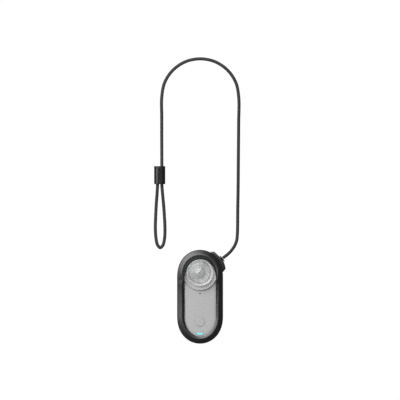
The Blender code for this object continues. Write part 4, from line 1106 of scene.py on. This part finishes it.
def makeFrontLens():
    low, high = nodeBox("front_lens")
    radius = 0.5 * (high.x - low.x)
    profile = [(0.0, low.z), (radius, low.z), (radius, low.z + 1.25 * mm), (lens["pupil"], low.z + 1.55 * mm)]
    steps = 24
    for i in range(steps + 1):
        share = 1.0 - i / steps
        profile.append((lens["pupil"] * share, high.z - lens["dome"] * share ** 2))
    piece = lathe("frontLens", profile, atLens, 112, closed=False)
    smooth(piece, 35.0)
    # the opaque dome gets painted rings for the lens inside: painted shade in the dark middle and a painted
    # reflection in the bright ring
    material, nodes, links, shader = newMaterial("lensDomePaintedRings", (0.3, 0.33, 0.36), 0.08)
    coords = nodes.new("ShaderNodeTexCoord")
    centre = nodes.new("ShaderNodeMapping")
    centre.inputs["Location"].default_value = (0.0, -lensY, 0.0)
    links.new(coords.outputs["Object"], centre.inputs["Vector"])
    flat = nodes.new("ShaderNodeVectorMath")
    flat.operation = "MULTIPLY"
    flat.inputs[1].default_value = (1.0, 1.0, 0.0)
    links.new(centre.outputs["Vector"], flat.inputs[0])
    far = nodes.new("ShaderNodeVectorMath")
    far.operation = "LENGTH"
    links.new(flat.outputs["Vector"], far.inputs[0])
    share = nodes.new("ShaderNodeMapRange")
    share.inputs["From Max"].default_value = lens["pupil"]
    links.new(far.outputs["Value"], share.inputs["Value"])
    ramp = nodes.new("ShaderNodeValToRGB")
    # ring tones: a dark middle of painted shade, a bright band of painted reflection, a darker band and a
    # light edge
    rings = [(0.0, (0.34, 0.37, 0.41)), (0.30, (0.36, 0.38, 0.41)), (0.40, (0.45, 0.46, 0.47)),
             (0.62, (0.48, 0.48, 0.48)),
             (0.74, (0.38, 0.38, 0.38)), (0.88, (0.38, 0.38, 0.38)), (1.0, (0.46, 0.46, 0.46))]
    elements = ramp.color_ramp.elements
    while len(elements) < len(rings):
        elements.new(0.5)
    for element, (spot, colour) in zip(elements, rings):
        element.position = spot
        element.color = (*colour, 1.0)
    links.new(share.outputs["Result"], ramp.inputs["Fac"])
    links.new(ramp.outputs["Color"], shader.inputs["Base Color"])
    shader.inputs["Coat Weight"].default_value = 0.5
    shader.inputs["Coat Roughness"].default_value = 0.05
    piece.data.materials.append(material)
    return place(piece, "camera", "optic_glass", "front_lens")


makeRetainer()
makeFrontLens()
print("lens face made")


# button, status light, contacts

def makeButton():
    low, high = buttonLow, buttonHigh
    top = high.z
    middle = (0.0, 0.5 * (low.y + high.y), 0.0)
    flange = 0.5 * (high.x - low.x)
    stem = 1.0 * mm
    flangeHigh = camera["faceHeight"] - camera["wall"] - 0.2 * mm
    flangeLow = flangeHigh - 0.6 * mm
    depth = button["markDepth"]
    profile = [(0.0, low.z), (stem - 0.1 * mm, low.z), (stem, low.z + 0.1 * mm), (stem, flangeLow),
               (flange, flangeLow),
               (flange, flangeHigh), (button["radius"], flangeHigh), (button["radius"], top - 0.06 * mm),
               (button["radius"] - 0.02 * mm, top - 0.02 * mm), (button["radius"] - 0.06 * mm, top),
               (button["markOuter"] + 0.04 * mm, top), (button["markOuter"], top - depth),
               (button["markInner"], top - depth),
               (button["markInner"] - 0.04 * mm, top), (0.6 * mm, top - 0.02 * mm), (0.0, top - 0.025 * mm)]
    piece = lathe("shutterButton", profile, middle, 96, closed=False)
    smooth(piece, 30.0)
    piece.data.materials.append(shell)
    return place(piece, "shutter_button", "shell_grey", "shutter_button")


def makeStatusWindow():
    piece = extrudedOutline("statusWindow", statusOutline(0.0), statusLow.z, statusHigh.z)
    roundRim(piece, statusHigh.z, 0.15 * mm, 3)
    smooth(piece, 30.0)
    piece.data.materials.append(statusGlow)
    return place(piece, "camera", "status_cyan", "status_window")


def makeContacts():
    low, high = nodeBox("contact_block")
    middleY = 0.5 * (low.y + high.y)
    bpy.ops.mesh.primitive_cube_add(size=1.0, location=0.5 * (low + high))
    block = startPiece("contactBlock")
    block.scale = high - low
    settle(block)
    roundEdges(block, 0.25 * mm, 4, 30.0)
    for number in range(1, 6):
        pinLow, pinHigh = nodeBox(f"charge_contact_{number}")
        radius = 0.5 * (pinHigh.x - pinLow.x)
        spot = (0.5 * (pinLow.x + pinHigh.x), middleY, 0.0)
        carve(block, post("contactBore", radius + 0.12 * mm, -1.0 * mm, 4.0 * mm, spot, 40))
        profile = [(0.0, pinLow.z + 0.12 * mm), (0.3 * radius, pinLow.z + 0.1 * mm),
                   (0.55 * radius, pinLow.z),
                   (0.8 * radius, pinLow.z + 0.04 * mm), (radius, pinLow.z + 0.2 * mm),
                   (radius, pinHigh.z - 0.05 * mm), (0.9 * radius, pinHigh.z), (0.0, pinHigh.z)]
        pin = lathe(f"contactPin{number}", profile, spot, 40, closed=False)
        smooth(pin, 30.0)
        pin.data.materials.append(gold)
        place(pin, "camera", "gold_contact", f"charge_contact_{number}")
    smooth(block, 30.0)
    block.data.materials.append(moulded)
    return place(block, "camera", "black_polymer", "contact_block")


makeButton()
makeStatusWindow()
makeContacts()
print("button, status light and contacts made")


# the pieces inside keep their frame shapes and get real finishes

slotFinish = {
    "shell_grey": shell, "sleeve_silicone": silicone, "cord_braid": braid, "crimp_polymer": crimpBlack,
    "guard_glass": guardGlass, "optic_glass": opticGlass, "status_cyan": statusGlow, "black_polymer": moulded,
    "soft_black": softRubber, "circuit_board": boardMask, "plain_steel": steel, "copper_plate": copper,
    "gold_contact": gold, "chip_black": chipPlastic, "flex_film": flexFilm, "bright_foil": foil,
}
nodeFinish = {"mic_mesh": softRubber}
nodeSlots = {entry["node"]: entry["material_slot"] for entry in frame["record"]["subparts"]}
for nodeName, node in frame["nodes"].items():
    node.data.materials.clear()
    node.data.materials.append(nodeFinish.get(nodeName, slotFinish[nodeSlots[nodeName]]))
print("inner pieces finished:", len(nodeSlots))

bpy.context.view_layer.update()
clearSelection()
